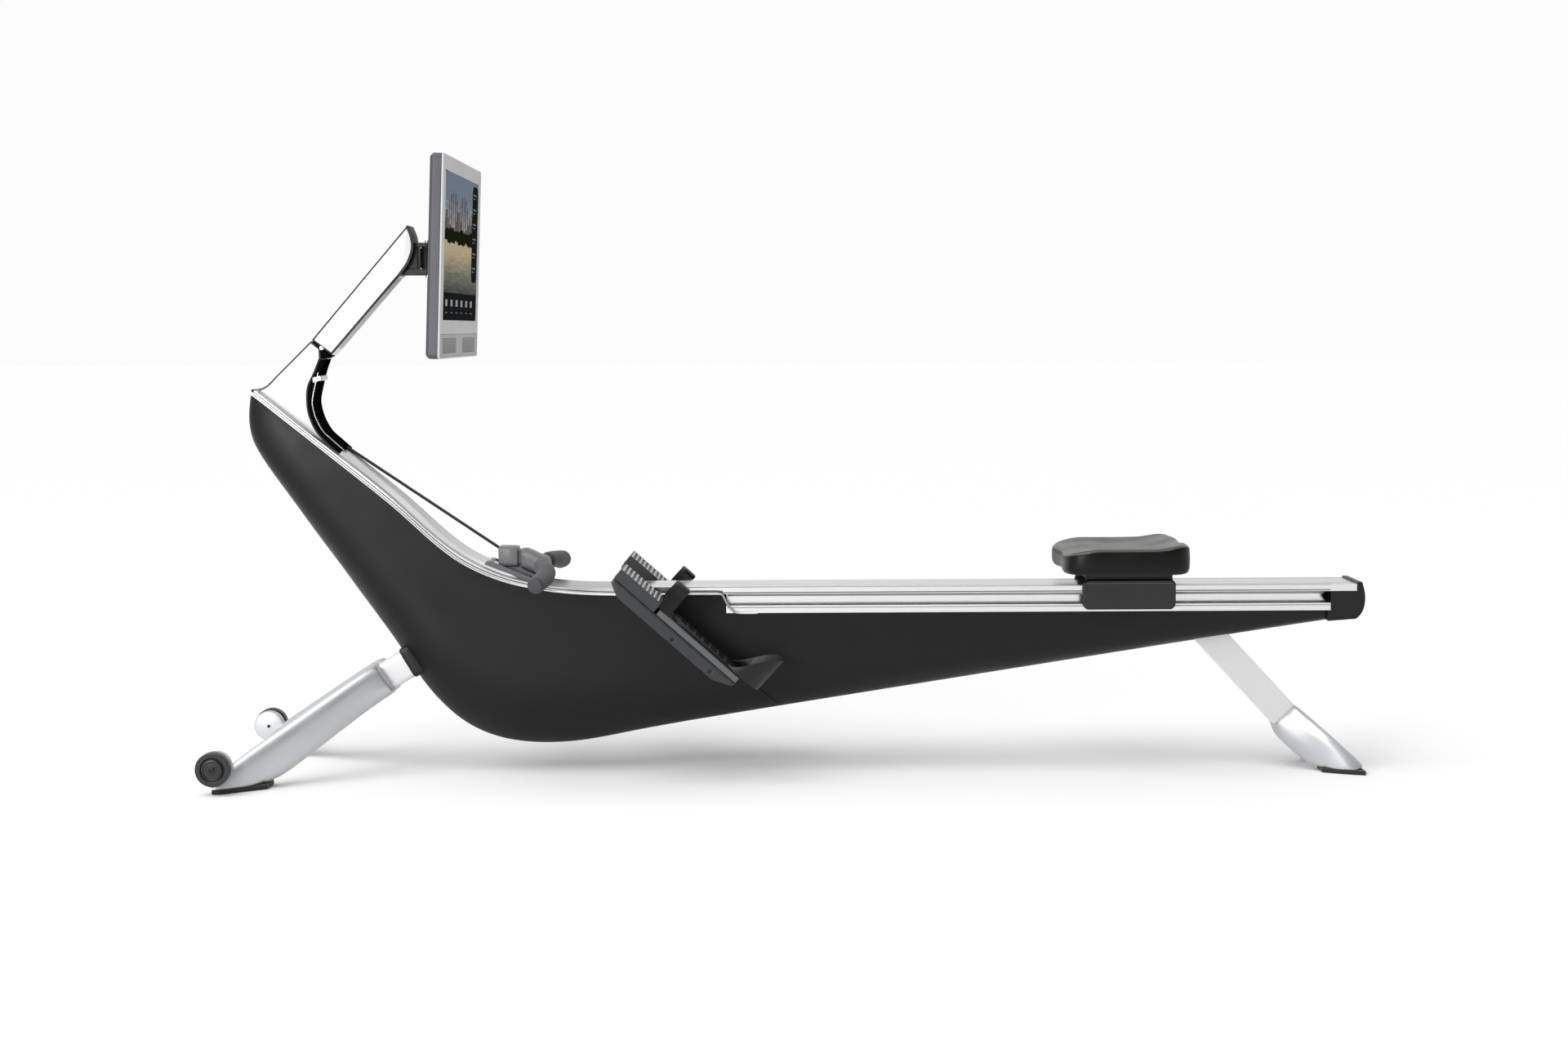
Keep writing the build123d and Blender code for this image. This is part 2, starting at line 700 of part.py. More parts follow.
def build_frame(arm_solid):
    hull_front, hull_rear = hull_solids()
    deck = make_deck(2 * hull_half)
    spine = make_spine(deck)
    neck = make_neck(deck) - hinge_room() - corner_room() - slab(arm_sketch(), 100)
    knuckle = rod_y(hinge_x, 0, hinge_z, 12, 27) - rod_y(hinge_x, 0, hinge_z, pin_radius + 0.02, 40)
    slot = strap_slot()
    front_post = post_bar(-779.5, 188, -694, 239, 57, 76)
    inner_frame = make_inner_frame()
    rear_post = post_bar(961, 104, 806, 271, 54, 60) - inner_frame
    rear_arch = make_rear_arch()
    front_arch = make_front_arch()
    front_post -= front_arch
    rear_post -= rear_arch
    front_room = post_bar(-800, 176, -690, 241, 58, 77)
    rear_room = post_bar(975, 89, 790, 288, 55, 61)
    rail = make_rail()
    roller_shaft_hole = rod_y(exit_x, 0, exit_z, pin_radius + 0.02, 45)
    save("hull_front", largest(hull_front - front_room - make_deck(2 * hull_half + 12) - inner_frame))
    save("hull_rear", hull_rear - rear_room - rail - inner_frame)
    save("deck_trim", deck - slot - roller_shaft_hole)
    save("deck_spine", spine - slot - neck)
    channel = make_neck_channel() - deck - spine - slot
    neck = neck + knuckle - rod_y(hinge_x, 0, hinge_z, pin_radius + 0.02, 90) - slot
    save("neck", neck - channel - roller_shaft_hole)
    save("neck_channel", channel - roller_shaft_hole)
    save("rail", rail)
    save("end_cap", make_end_cap())
    save("inner_frame", inner_frame)
    save("front_post", front_post)
    save("rear_post", rear_post)
    save("front_arch", front_arch)
    save("rear_arch", rear_arch)
    save("soles", *make_soles())
    save("wheel_axles", *both_sides(rod_y(wheel_x, 254, wheel_z, pin_radius, 46)))
    save("handle_cradle", make_cradle(deck, spine))
    save("hinge_pin", rod_y(hinge_x, 0, hinge_z, pin_radius, 66))
    shafts = [rod_y(flywheel_x, 0, flywheel_z, 6, 84), rod_y(drive_x, 0, drive_z, 6, 84),
              rod_y(exit_x, 0, exit_z, pin_radius, 44)]
    save("shafts", *shafts)
    save("magnet_brake", make_magnet_brake())
    save("drive_belt", make_belt())
    save("inner_strap", make_inner_strap())


def build_boards():
    shells, guides, pads, straps, buckles, screws, mounts = [], [], [], [], [], [], []
    for side in (-1, 1):
        frame = board_frame(side)
        shells.append(frame * make_board_shell())
        guides.append(frame * make_board_guide())
        pads.append(frame * make_toe_pad())
        straps.append(frame * make_foot_strap())
        buckles.append(frame * make_buckle())
        screws += [frame * screw for screw in make_board_screws(side)]
        inner_mount = make_board_mount()
        mounts.append(frame * (inner_mount if side > 0 else other_side(inner_mount)))
        save("heel_slider_right" if side < 0 else "heel_slider_left", frame * make_heel_slider())
    save("board_shells", *shells)
    save("board_guides", *guides)
    save("toe_pads", *pads)
    save("foot_straps", *straps)
    save("strap_buckles", *buckles)
    save("board_screws", *screws)
    save("board_mounts", *mounts)


def build_drive():
    bar = tube_along(bar_path(), bar_radius)
    save("handle_bar", bar)
    save("handle_grips", *both_sides(make_grip()))
    save("handle_yoke", make_yoke(bar))
    save("pull_strap", make_pull_strap())
    save("exit_roller", make_exit_roller())
    save("strap_spool", make_spool())
    save("drive_pulley", make_drive_pulley())
    save("flywheel", make_flywheel())
    save("wheel_right", make_wheel(-1))
    save("wheel_left", make_wheel(1))


def build_arm():
    beam, strip, cap = make_arm()
    arm_solid = slab(arm_sketch(), 2 * arm_half)
    base, pin = make_swivel_base(arm_solid)
    save("arm_beam", beam)
    save("arm_strip", strip)
    save("arm_cap", cap)
    save("swivel_base", base)
    save("swivel_pin", pin)
    save("swivel_barrel", make_swivel_barrel())
    for name, piece in make_display().items():
        save(name, *(piece if isinstance(piece, list) else [piece]))
    return arm_solid


def build_seat():
    save("seat_pad", make_seat_pad())
    save("carriage_frame", make_carriage_frame())
    save("carriage_covers", *make_carriage_covers())
    save("roller_axles", *make_roller_axles())
    for name in roller_places:
        save(name, *make_rollers(name))


os.makedirs("parts", exist_ok=True)
build_frame(build_arm())
build_boards()
build_drive()
build_seat()
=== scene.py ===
"""The looks of a rowing machine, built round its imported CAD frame. Every length is in metres."""

import json
import math

import bmesh
import bpy
from mathutils import Matrix, Vector


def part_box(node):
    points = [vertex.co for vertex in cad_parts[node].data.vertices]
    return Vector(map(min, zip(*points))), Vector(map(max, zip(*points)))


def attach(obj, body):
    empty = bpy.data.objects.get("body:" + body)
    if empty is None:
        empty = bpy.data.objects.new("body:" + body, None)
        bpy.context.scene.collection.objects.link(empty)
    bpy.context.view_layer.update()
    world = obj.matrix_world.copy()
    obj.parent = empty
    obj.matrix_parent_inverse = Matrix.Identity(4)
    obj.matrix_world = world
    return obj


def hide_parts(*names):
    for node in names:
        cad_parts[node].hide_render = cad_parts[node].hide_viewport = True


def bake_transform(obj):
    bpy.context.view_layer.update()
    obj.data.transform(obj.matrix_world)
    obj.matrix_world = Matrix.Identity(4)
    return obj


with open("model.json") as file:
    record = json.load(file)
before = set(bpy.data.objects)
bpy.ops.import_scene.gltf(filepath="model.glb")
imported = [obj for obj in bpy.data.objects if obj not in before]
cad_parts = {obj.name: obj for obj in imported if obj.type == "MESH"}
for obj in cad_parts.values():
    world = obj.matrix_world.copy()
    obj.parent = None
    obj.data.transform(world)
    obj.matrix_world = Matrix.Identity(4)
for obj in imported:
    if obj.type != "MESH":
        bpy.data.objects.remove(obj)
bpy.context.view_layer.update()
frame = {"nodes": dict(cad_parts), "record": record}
nodes = frame["nodes"]


# ---------------------------------------------------------------- materials

class Shader:
    """A Principled material and the few helper nodes that every finish here is made of."""

    def __init__(self, name, color, roughness, metallic=0.0, coat=0.0, sheen=0.0, specular=0.5):
        self.material = bpy.data.materials.new(name)
        self.material.use_nodes = True
        self.tree = self.material.node_tree
        self.surface = self.tree.nodes["Principled BSDF"]
        self.surface.inputs["Base Color"].default_value = (*color, 1)
        self.surface.inputs["Roughness"].default_value = roughness
        self.surface.inputs["Metallic"].default_value = metallic
        self.surface.inputs["Coat Weight"].default_value = coat
        self.surface.inputs["Sheen Weight"].default_value = sheen
        self.surface.inputs["Specular IOR Level"].default_value = specular
        self.color = color
        self.roughness = roughness
        self.normal = None

    def node(self, kind, **values):
        made = self.tree.nodes.new(kind)
        for key, value in values.items():
            if isinstance(value, bpy.types.NodeSocket):
                self.tree.links.new(value, made.inputs[key])
            elif key in made.inputs:
                made.inputs[key].default_value = value
            else:
                setattr(made, key, value)
        return made

    def place(self, scale=(1, 1, 1)):
        where = self.node("ShaderNodeTexCoord")
        mapping = self.node("ShaderNodeMapping", Vector=where.outputs["Object"])
        mapping.inputs["Scale"].default_value = scale
        return mapping.outputs[0]

    def noise(self, scale, stretch=(1, 1, 1), detail=3.0):
        made = self.node("ShaderNodeTexNoise", Vector=self.place(stretch))
        made.inputs["Scale"].default_value = scale
        made.inputs["Detail"].default_value = detail
        return made.outputs["Fac"]

    def spread(self, value, low, high):
        made = self.node("ShaderNodeMapRange", Value=value)
        made.inputs["From Min"].default_value = 0.3
        made.inputs["From Max"].default_value = 0.7
        made.inputs["To Min"].default_value = low
        made.inputs["To Max"].default_value = high
        return made.outputs[0]

    def vary_roughness(self, value, share=0.2):
        self.link(self.spread(value, self.roughness * (1 - share), self.roughness * (1 + share)), "Roughness")
        return self

    def mix_colors(self, value, first, second, name="Base Color"):
        mix = self.node("ShaderNodeMix", data_type="RGBA")
        self.tree.links.new(value, mix.inputs[0])
        mix.inputs[6].default_value = (*first, 1)
        mix.inputs[7].default_value = (*second, 1)
        self.link(mix.outputs[2], name)

    def vary_color(self, value, share=0.12):
        self.mix_colors(value, [c * (1 - share) for c in self.color], [c * (1 + share) for c in self.color])
        return self

    def math(self, operation, *values):
        made = self.node("ShaderNodeMath", operation=operation)
        for place, value in enumerate(values):
            if isinstance(value, bpy.types.NodeSocket):
                self.tree.links.new(value, made.inputs[place])
            else:
                made.inputs[place].default_value = value
        return made.outputs[0]

    def round_edges(self, radius):
        self.normal = self.node("ShaderNodeBevel", samples=4, Radius=radius).outputs[0]
        self.link(self.normal, "Normal")
        return self

    def bump(self, height, distance, strength=0.5):
        made = self.node("ShaderNodeBump", Height=height, Strength=strength, Distance=distance)
        if self.normal is not None:
            self.tree.links.new(self.normal, made.inputs["Normal"])
        self.normal = made.outputs[0]
        self.link(self.normal, "Normal")
        return self

    def link(self, output, name):
        self.tree.links.new(output, self.surface.inputs[name])


def moulded(name, color, roughness, grain=900, edge=0.0012, specular=0.5):
    made = Shader(name, color, roughness, specular=specular).round_edges(edge)
    fine = made.noise(grain, detail=2)
    made.bump(fine, 0.00006, 0.35).vary_roughness(made.noise(14), 0.12)
    return made.vary_color(made.noise(9), 0.06)


def brushed(name, color, roughness, along=(1, 60, 60), edge=0.0008):
    made = Shader(name, color, roughness, metallic=1.0).round_edges(edge)
    lines = made.noise(24, along, detail=4)
    made.bump(lines, 0.000004, 0.3).vary_roughness(lines, 0.15)
    return made.vary_color(lines, 0.025)


def painted(name, color, roughness, metallic=0.55, coat=0.35):
    made = Shader(name, color, roughness, metallic=metallic, coat=coat).round_edges(0.0015)
    made.surface.inputs["Coat Roughness"].default_value = 0.12
    made.bump(made.noise(900, detail=1), 0.000004, 0.3).vary_roughness(made.noise(11), 0.12)
    return made.vary_color(made.noise(7), 0.015)


def rubbery(name, color, roughness=0.75, grain=1400):
    made = Shader(name, color, roughness, sheen=0.15).round_edges(0.001)
    grit = made.noise(grain, detail=3)
    return made.bump(grit, 0.00012, 0.5).vary_roughness(grit, 0.12).vary_color(made.noise(25), 0.12)


def woven(name, color, along, across, pitch=0.0016):
    """Webbing whose threads run along one direction and cross another."""
    made = Shader(name, color, 0.8, sheen=0.04, specular=0.25)
    bands = []
    for direction in (along, across):
        dot = made.node("ShaderNodeVectorMath", operation="DOT_PRODUCT")
        made.tree.links.new(made.place(), dot.inputs[0])
        dot.inputs[1].default_value = direction
        bands.append(made.math("SINE", made.math("MULTIPLY", dot.outputs["Value"], 2 * math.pi / pitch)))
    weave = made.math("MULTIPLY", *bands)
    made.bump(weave, 0.0003, 0.6)
    return made.vary_color(made.spread(weave, 0, 1), 0.3)


def grained(name, color, roughness, specular):
    """Skinned foam with a fine leather-like grain."""
    made = Shader(name, color, roughness, sheen=0.03, specular=specular)
    cells = made.node("ShaderNodeTexVoronoi", Vector=made.place())
    cells.inputs["Scale"].default_value = 620
    made.bump(cells.outputs["Distance"], 0.00022, 0.4)
    made.bump(made.noise(60), 0.0006, 0.12)
    return made.vary_roughness(made.noise(18), 0.2).vary_color(made.noise(7), 0.12)


finish = {
    "hull": moulded("hull_satin", (0.0055, 0.0055, 0.0062), 0.44, grain=1300, specular=0.24),
    "gloss": moulded("gloss_black", (0.004, 0.004, 0.0045), 0.14, grain=500),
    "black": moulded("black_plastic", (0.006, 0.006, 0.0065), 0.42, specular=0.35),
    # Flat black with no gloss, painted shade for the neck's hollow side, round the hinge and at the end of the
    # rail's recess.
    "void": moulded("painted_shade_black", (0.003, 0.003, 0.003), 0.8, specular=0.0),
    "shoe": moulded("shoe_grey", (0.018, 0.019, 0.021), 0.4),
    "guide": moulded("guide_grey", (0.085, 0.087, 0.092), 0.42),
    # Light grey for the toe ridges: painted highlight on the dark pad.
    "rib": moulded("rib_grey", (0.42, 0.42, 0.43), 0.35),
    "rail": brushed("rail_aluminium", (0.80, 0.80, 0.81), 0.2),
    "deck": painted("deck_aluminium", (0.50, 0.50, 0.51), 0.34, metallic=0.9, coat=0.0),
    "bead": painted("bead_aluminium", (0.72, 0.72, 0.73), 0.28, metallic=0.9, coat=0.0),
    "crown": painted("crown_paint", (0.80, 0.80, 0.81), 0.36, metallic=0.25, coat=0.0),
    "arm": painted("arm_paint", (0.80, 0.80, 0.81), 0.34, metallic=0.25, coat=0.0),
    "cast": painted("cast_paint", (0.58, 0.59, 0.61), 0.46, metallic=0.8, coat=0.0),
    "post": painted("post_paint", (0.66, 0.66, 0.67), 0.33, metallic=0.2),
    "steel": brushed("zinc_steel", (0.5, 0.5, 0.51), 0.3, along=(30, 30, 1)),
    "rubber": rubbery("black_rubber", (0.008, 0.008, 0.008)),
    "wheel": moulded("wheel_nylon", (0.008, 0.008, 0.009), 0.36),
    "housing": painted("housing_grey", (0.075, 0.072, 0.086), 0.4, metallic=0.35, coat=0.0),
    "face": moulded("face_grey", (0.50, 0.50, 0.505), 0.4),
    "panel": moulded("panel_grey", (0.33, 0.33, 0.335), 0.42),
    "strip": moulded("strip_grey", (0.15, 0.15, 0.155), 0.32),
    # Dark metal for the deck's groove lines, and painted dark reflection on the rolled edges of the arm and
    # neck.
    "edge": painted("groove_and_painted_edge_shade", (0.045, 0.045, 0.048), 0.45, metallic=0.3, coat=0.0),
    "grip": rubbery("grip_foam", (0.034, 0.035, 0.040), 0.6, grain=1100),
    "yoke": moulded("yoke_grey", (0.12, 0.121, 0.127), 0.36),
    "tray": moulded("tray_grey", (0.11, 0.11, 0.115), 0.3),
    # One foam in two tones: a near-black copy painted as the shade on the sides, a lighter copy painted as the
    # light on the top.
    "seat": grained("seat_foam", (0.0030, 0.0031, 0.0026), 0.42, specular=0.22),
    "seat_top": grained("seat_foam_lit_top", (0.034, 0.035, 0.029), 0.34, specular=0.6),
    "foot_webbing": woven("foot_webbing", (0.008, 0.008, 0.008), (0.75, 0, -0.66), (0, 1, 0)),
    "pull_webbing": woven("pull_webbing", (0.011, 0.011, 0.012), (0.84, 0, -0.545), (0, 1, 0)),
}


def grille_finish():
    made = Shader("grille_mesh", (0.05, 0.05, 0.052), 0.45, metallic=0.5)
    holes = made.node("ShaderNodeTexVoronoi", Vector=made.place())
    holes.inputs["Scale"].default_value = 420
    holes.inputs["Randomness"].default_value = 0.0
    outside_hole = made.math("GREATER_THAN", holes.outputs["Distance"], 0.36)
    made.mix_colors(outside_hole, (0.02, 0.02, 0.022), (0.19, 0.19, 0.195))
    made.bump(holes.outputs["Distance"], 0.0004, 0.5)
    return made


finish["grille"] = grille_finish()


def dress(piece, name):
    piece.data.materials.clear()
    piece.data.materials.append(finish[name].material)
    return piece


# ---------------------------------------------------------------- mesh tools

def add_object(name, data):
    piece = bpy.data.objects.new(name, data)
    bpy.context.scene.collection.objects.link(piece)
    return piece


def shade(piece, angle=32):
    """Smooth shading that keeps edges sharper than an angle."""
    mesh = piece.data
    for polygon in mesh.polygons:
        polygon.use_smooth = True
    mesh.set_sharp_from_angle(angle=math.radians(angle))
    return piece


def make(name, verts, faces, body, finish_name, replaces=(), angle=32):
    """A finished piece; one that is still to be changed is given no body yet."""
    mesh = bpy.data.meshes.new(name)
    mesh.from_pydata([tuple(v) for v in verts], [], faces)
    made = bmesh.new()
    made.from_mesh(mesh)
    bmesh.ops.remove_doubles(made, verts=made.verts, dist=1e-6)
    bmesh.ops.recalc_face_normals(made, faces=made.faces)
    made.to_mesh(mesh)
    made.free()
    piece = add_object(name, mesh)
    dress(piece, finish_name)
    shade(piece, angle)
    if body:
        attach(piece, body)
    if replaces:
        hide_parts(*replaces)
    return piece


def apply_modifiers(piece):
    depsgraph = bpy.context.evaluated_depsgraph_get()
    mesh = bpy.data.meshes.new_from_object(piece.evaluated_get(depsgraph))
    piece.modifiers.clear()
    piece.data = mesh
    return piece


def bevelled(piece, width, segments=3, angle=32):
    """Rounds a piece's sharp edges."""
    bevel = piece.modifiers.new("round", "BEVEL")
    bevel.width = width
    bevel.segments = segments
    bevel.limit_method = "ANGLE"
    bevel.angle_limit = math.radians(angle)
    bevel.use_clamp_overlap = True
    bpy.context.view_layer.update()
    apply_modifiers(piece)
    shade(piece, 40)
    even = piece.modifiers.new("even_shading", "WEIGHTED_NORMAL")
    even.keep_sharp = True
    bpy.context.view_layer.update()
    return apply_modifiers(piece)


def subdivided(piece, angle):
    """The piece with its faces split once and smoothed."""
    finer = piece.modifiers.new("fine", "SUBSURF")
    finer.levels = finer.render_levels = 1
    bpy.context.view_layer.update()
    apply_modifiers(piece)
    shade(piece, angle)


def curve(points, steps):
    """A smooth line through points of any dimension, as Catmull-Rom spans."""
    ends = [points[0]] + list(points) + [points[-1]]
    line = []
    for i in range(1, len(ends) - 2):
        a, b, c, d = (Vector(ends[i + k]) for k in (-1, 0, 1, 2))
        for step in range(steps):
            t = step / steps
            line.append(0.5 * (2 * b + (c - a) * t + (2 * a - 5 * b + 4 * c - d) * t * t
                               + (3 * b - a - 3 * c + d) * t ** 3))
    line.append(Vector(points[-1]))
    return line


def grid(rows, close=True):
    """Vertices and faces of a skin over rows of points, each row a ring or an open line."""
    size = len(rows[0])
    verts = [v for row in rows for v in row]
    faces = []
    for r in range(len(rows) - 1):
        for c in range(size if close else size - 1):
            n = (c + 1) % size
            faces.append((r * size + c, r * size + n, (r + 1) * size + n, (r + 1) * size + c))
    if close:
        faces.append(tuple(range(size - 1, -1, -1)))
        faces.append(tuple((len(rows) - 1) * size + c for c in range(size)))
    return verts, faces


def add_skin(verts, faces, rows):
    """Adds the closed skin over rows of points to a piece's vertices and faces."""
    first = len(verts)
    more, skin = grid(rows)
    verts += more
    faces += [tuple(first + k for k in face) for face in skin]


def prism(outline, half, y=0.0):
    """A side-view outline given a width."""
    count = len(outline)
    verts = [(x, y - half, z) for x, z in outline] + [(x, y + half, z) for x, z in outline]
    faces = [tuple(range(count)), tuple(range(2 * count - 1, count - 1, -1))]
    faces += [(c, (c + 1) % count, count + (c + 1) % count, count + c) for c in range(count)]
    return verts, faces


def superellipse(k, count, power):
    """Point k of a unit ring that is round at power 2 and squarer above it."""
    angle = 2 * math.pi * k / count
    c, s = math.cos(angle), math.sin(angle)
    return math.copysign(abs(c) ** (2 / power), c), math.copysign(abs(s) ** (2 / power), s)


def oval(centre, across, up, half_wide, half_high, power, count):
    ring = []
    for k in range(count):
        u, v = superellipse(k, count, power)
        ring.append(Vector(centre) + Vector(across) * (u * half_wide) + Vector(up) * (v * half_high))
    return ring


right_then_left = ((-1, "right"), (1, "left"))
left_then_right = right_then_left[::-1]


def mm(*values):
    return tuple(v / 1000 for v in values)


def mm_line(points):
    return [mm(*p) for p in points]


def tube(path, radius, count):
    """Round rings along a 3-D path, kept upright; radius may be a list."""
    rows = []
    for i, point in enumerate(path):
        ahead = path[min(i + 1, len(path) - 1)] - path[max(i - 1, 0)]
        ahead.normalize()
        across = ahead.cross(Vector((0, 0, 1)))
        if across.length < 1e-6:
            across = Vector((1, 0, 0))
        across.normalize()
        up = across.cross(ahead)
        r = radius[i] if isinstance(radius, list) else radius
        rows.append(oval(point, across, up, r, r, 2, count))
    return rows


# ---------------------------------------------------------------- camera, floor and light

def make_camera():
    yaw, pitch, roll = 0.0013, 0.0782, -0.0049
    ahead = Vector((math.sin(yaw) * math.cos(pitch), math.cos(yaw) * math.cos(pitch), -math.sin(pitch)))
    right = ahead.cross(Vector((0, 0, 1))).normalized()
    up = right.cross(ahead)
    turned_right = right * math.cos(roll) + up * math.sin(roll)
    turned_up = -right * math.sin(roll) + up * math.cos(roll)
    camera = add_object("camera", bpy.data.cameras.new("camera"))
    camera.data.lens = 56.43
    camera.data.sensor_width = 36
    camera.data.clip_end = 100
    rotation = Matrix((turned_right, turned_up, -ahead)).transposed().to_4x4()
    camera.matrix_world = Matrix.Translation((-0.0145, -4.7558, 0.8539)) @ rotation
    bpy.context.scene.camera = camera


def area_light(name, place, target, size, power):
    light = bpy.data.lights.new(name, "AREA")
    light.shape = "RECTANGLE"
    light.size, light.size_y = size
    light.energy = power
    lamp = add_object(name, light)
    lamp.location = place
    lamp.rotation_euler = (Vector(target) - Vector(place)).to_track_quat("-Z", "Y").to_euler()


def make_world():
    """A white room lit from overhead and from its back wall, with a dim side facing the camera."""
    world = bpy.data.worlds.new("studio")
    world.use_nodes = True
    tree = world.node_tree
    backdrop = tree.nodes["Background"]
    backdrop.inputs["Color"].default_value = (0.975, 0.975, 0.975, 1)
    room = tree.nodes.new("ShaderNodeBackground")
    where = tree.nodes.new("ShaderNodeTexCoord")
    toward = tree.nodes.new("ShaderNodeVectorMath")
    toward.operation = "DOT_PRODUCT"
    toward.inputs[1].default_value = (-0.12, 0.54, 0.83)
    share = tree.nodes.new("ShaderNodeMapRange")
    for key, value in (("From Min", -0.3), ("From Max", 0.75), ("To Min", 0.06), ("To Max", 1.05)):
        share.inputs[key].default_value = value
    seen = tree.nodes.new("ShaderNodeLightPath")
    mix = tree.nodes.new("ShaderNodeMixShader")
    tree.links.new(where.outputs["Generated"], toward.inputs[0])
    tree.links.new(toward.outputs["Value"], share.inputs["Value"])
    tree.links.new(share.outputs[0], room.inputs["Strength"])
    tree.links.new(seen.outputs["Is Camera Ray"], mix.inputs[0])
    tree.links.new(room.outputs[0], mix.inputs[1])
    tree.links.new(backdrop.outputs[0], mix.inputs[2])
    tree.links.new(mix.outputs[0], tree.nodes["World Output"].inputs[0])
    bpy.context.scene.world = world


def make_stage():
    mesh = bpy.data.meshes.new("floor")
    reach = 60
    mesh.from_pydata([(-reach, -reach, 0), (reach, -reach, 0), (reach, reach, 0), (-reach, reach, 0)], [],
                     [(0, 1, 2, 3)])
    floor = add_object("floor", mesh)
    paper = Shader("floor_paper", (0.82, 0.82, 0.82), 0.9, specular=0.0)
    paper.vary_color(paper.noise(3), 0.002)
    mesh.materials.append(paper.material)
    make_world()
    bpy.context.scene.view_settings.view_transform = "Standard"
    sun = bpy.data.lights.new("soft_sky", "SUN")
    sun.energy = 2.1
    sun.angle = math.radians(60)
    lamp = add_object("soft_sky", sun)
    lamp.rotation_euler = Vector((0.45, 0.5, -1.0)).to_track_quat("-Z", "Y").to_euler()
    area_light("front_left", (-2.6, -2.4, 1.9), (-0.75, 0, 0.55), (1.5, 1.5), 14)
    area_light("bow_glow", (-2.3, -4.4, 1.1), (-0.75, 0, 0.5), (1.0, 1.0), 80)


# ---------------------------------------------------------------- finished copies of CAD shapes

node_body = {node: body for body, members in frame["record"]["behaviour"]["bodies"].items() for node in members}


def refined(node, finish_name, width, angle=32):
    """A finished piece with a CAD node's own shape, whose true edges are rounded off."""
    mesh = nodes[node].data.copy()
    mesh.name = node + "_finished"
    made = bmesh.new()
    made.from_mesh(mesh)
    bmesh.ops.remove_doubles(made, verts=made.verts, dist=2e-6)
    bmesh.ops.dissolve_limit(made, angle_limit=math.radians(0.8), verts=made.verts, edges=made.edges)
    bmesh.ops.recalc_face_normals(made, faces=made.faces)
    made.to_mesh(mesh)
    made.free()
    piece = add_object(node + "_finished", mesh)
    dress(piece, finish_name)
    shade(piece, angle)
    bevelled(piece, width, 3, angle)
    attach(piece, node_body[node])
    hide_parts(node)
    return piece


def cast(node, finish_name, voxel, rounds):
    """A finished piece with a CAD node's shape whose corners are melted round, as in a casting."""
    piece = add_object(node + "_cast", nodes[node].data.copy())
    remesh = piece.modifiers.new("even", "REMESH")
    remesh.mode = "VOXEL"
    remesh.voxel_size = voxel
    remesh.adaptivity = 0.0
    bpy.context.view_layer.update()
    apply_modifiers(piece)
    soften = piece.modifiers.new("melt", "SMOOTH")
    soften.factor = 0.5
    soften.iterations = rounds
    bpy.context.view_layer.update()
    apply_modifiers(piece)
    dress(piece, finish_name)
    for polygon in piece.data.polygons:
        polygon.use_smooth = True
    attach(piece, node_body[node])
    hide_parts(node)


refined_nodes = [
    ("deck_trim", "deck", 0.0006), ("rear_post", "post", 0.004), ("arm_strip", "strip", 0.001),
    ("display_mount", "black", 0.0015),
    ("swivel_base", "black", 0.0015), ("swivel_barrel", "black", 0.001), ("display_housing", "housing", 0.003),
    ("display_face", "face", 0.0012), ("speaker_panel", "panel", 0.0006),
    ("board_guides", "guide", 0.0015), ("toe_pads", "shoe", 0.0015),
    ("board_mounts", "black", 0.002), ("handle_cradle", "tray", 0.002), ("handle_bar", "steel", 0.0005),
    ("end_cap", "black", 0.003), ("wheel_left", "wheel", 0.0025), ("wheel_right", "wheel", 0.0025),
    ("soles", "rubber", 0.002), ("board_screws", "black", 0.0003), ("carriage_covers", "gloss", 0.003),
    ("carriage_frame", "black", 0.001),
]

kept_nodes = {
    "hull": "hull_front hull_rear", "rail": "rail", "black": "strap_spool magnet_brake roller_axles",
    "steel": "inner_frame swivel_pin tilt_pin hinge_pin shafts wheel_axles flywheel",
    "rubber": "exit_roller rollers_front rollers_rear rollers_under drive_belt", "wheel": "drive_pulley",
    "grille": "speaker_grilles", "pull_webbing": "inner_strap",
}


def dress_kept():
    for finish_name, members in kept_nodes.items():
        for node in members.split():
            dress(nodes[node], finish_name)
            shade(nodes[node], 28)


# ---------------------------------------------------------------- trim on the hull

lip_line = mm_line([(-1021, 737), (-867, 613), (-758, 524), (-671, 445), (-612, 404), (-545, 376), (-480, 361),
                    (-421, 353), (-339, 349), (-210, 349), (-130, 349)])
step_line = mm_line([(-130, 349), (-125, 344), (-119, 331), (-109, 319), (-98, 312.5), (-60, 312)])


def make_lip_beads():
    """A bright rolled bead where the deck meets the hull, and on round the step down to the rail."""
    for side, name in right_then_left:
        line = curve(lip_line, 6)[:-1] + curve(step_line, 6)
        path = [Vector((p[0], side * 0.0702, p[1] + 0.0005)) for p in line]
        make("lip_bead_" + name, *grid(tube(path, 0.0021, 10)), "frame", "bead", angle=80)
        groove = []
        for here, ahead in zip(path[:-30], path[1:-29]):
            run = (ahead - here).normalized()
            groove.append(here + Vector((-run.z, 0, run.x)) * 0.0052)
        make("lip_groove_" + name, *grid(tube(groove, 0.0009, 8)), "frame", "edge", angle=80)


hollow_edge = mm_line([(-886, 803), (-895, 778), (-902, 750), (-907, 726), (-906, 710), (-900, 689), (-887, 665),
                       (-867, 646), (-848, 629)])
white_edge = mm_line([(-866, 625), (-881, 640), (-902, 663), (-915, 690), (-920, 717), (-918, 749), (-906, 775),
                      (-896, 800)])


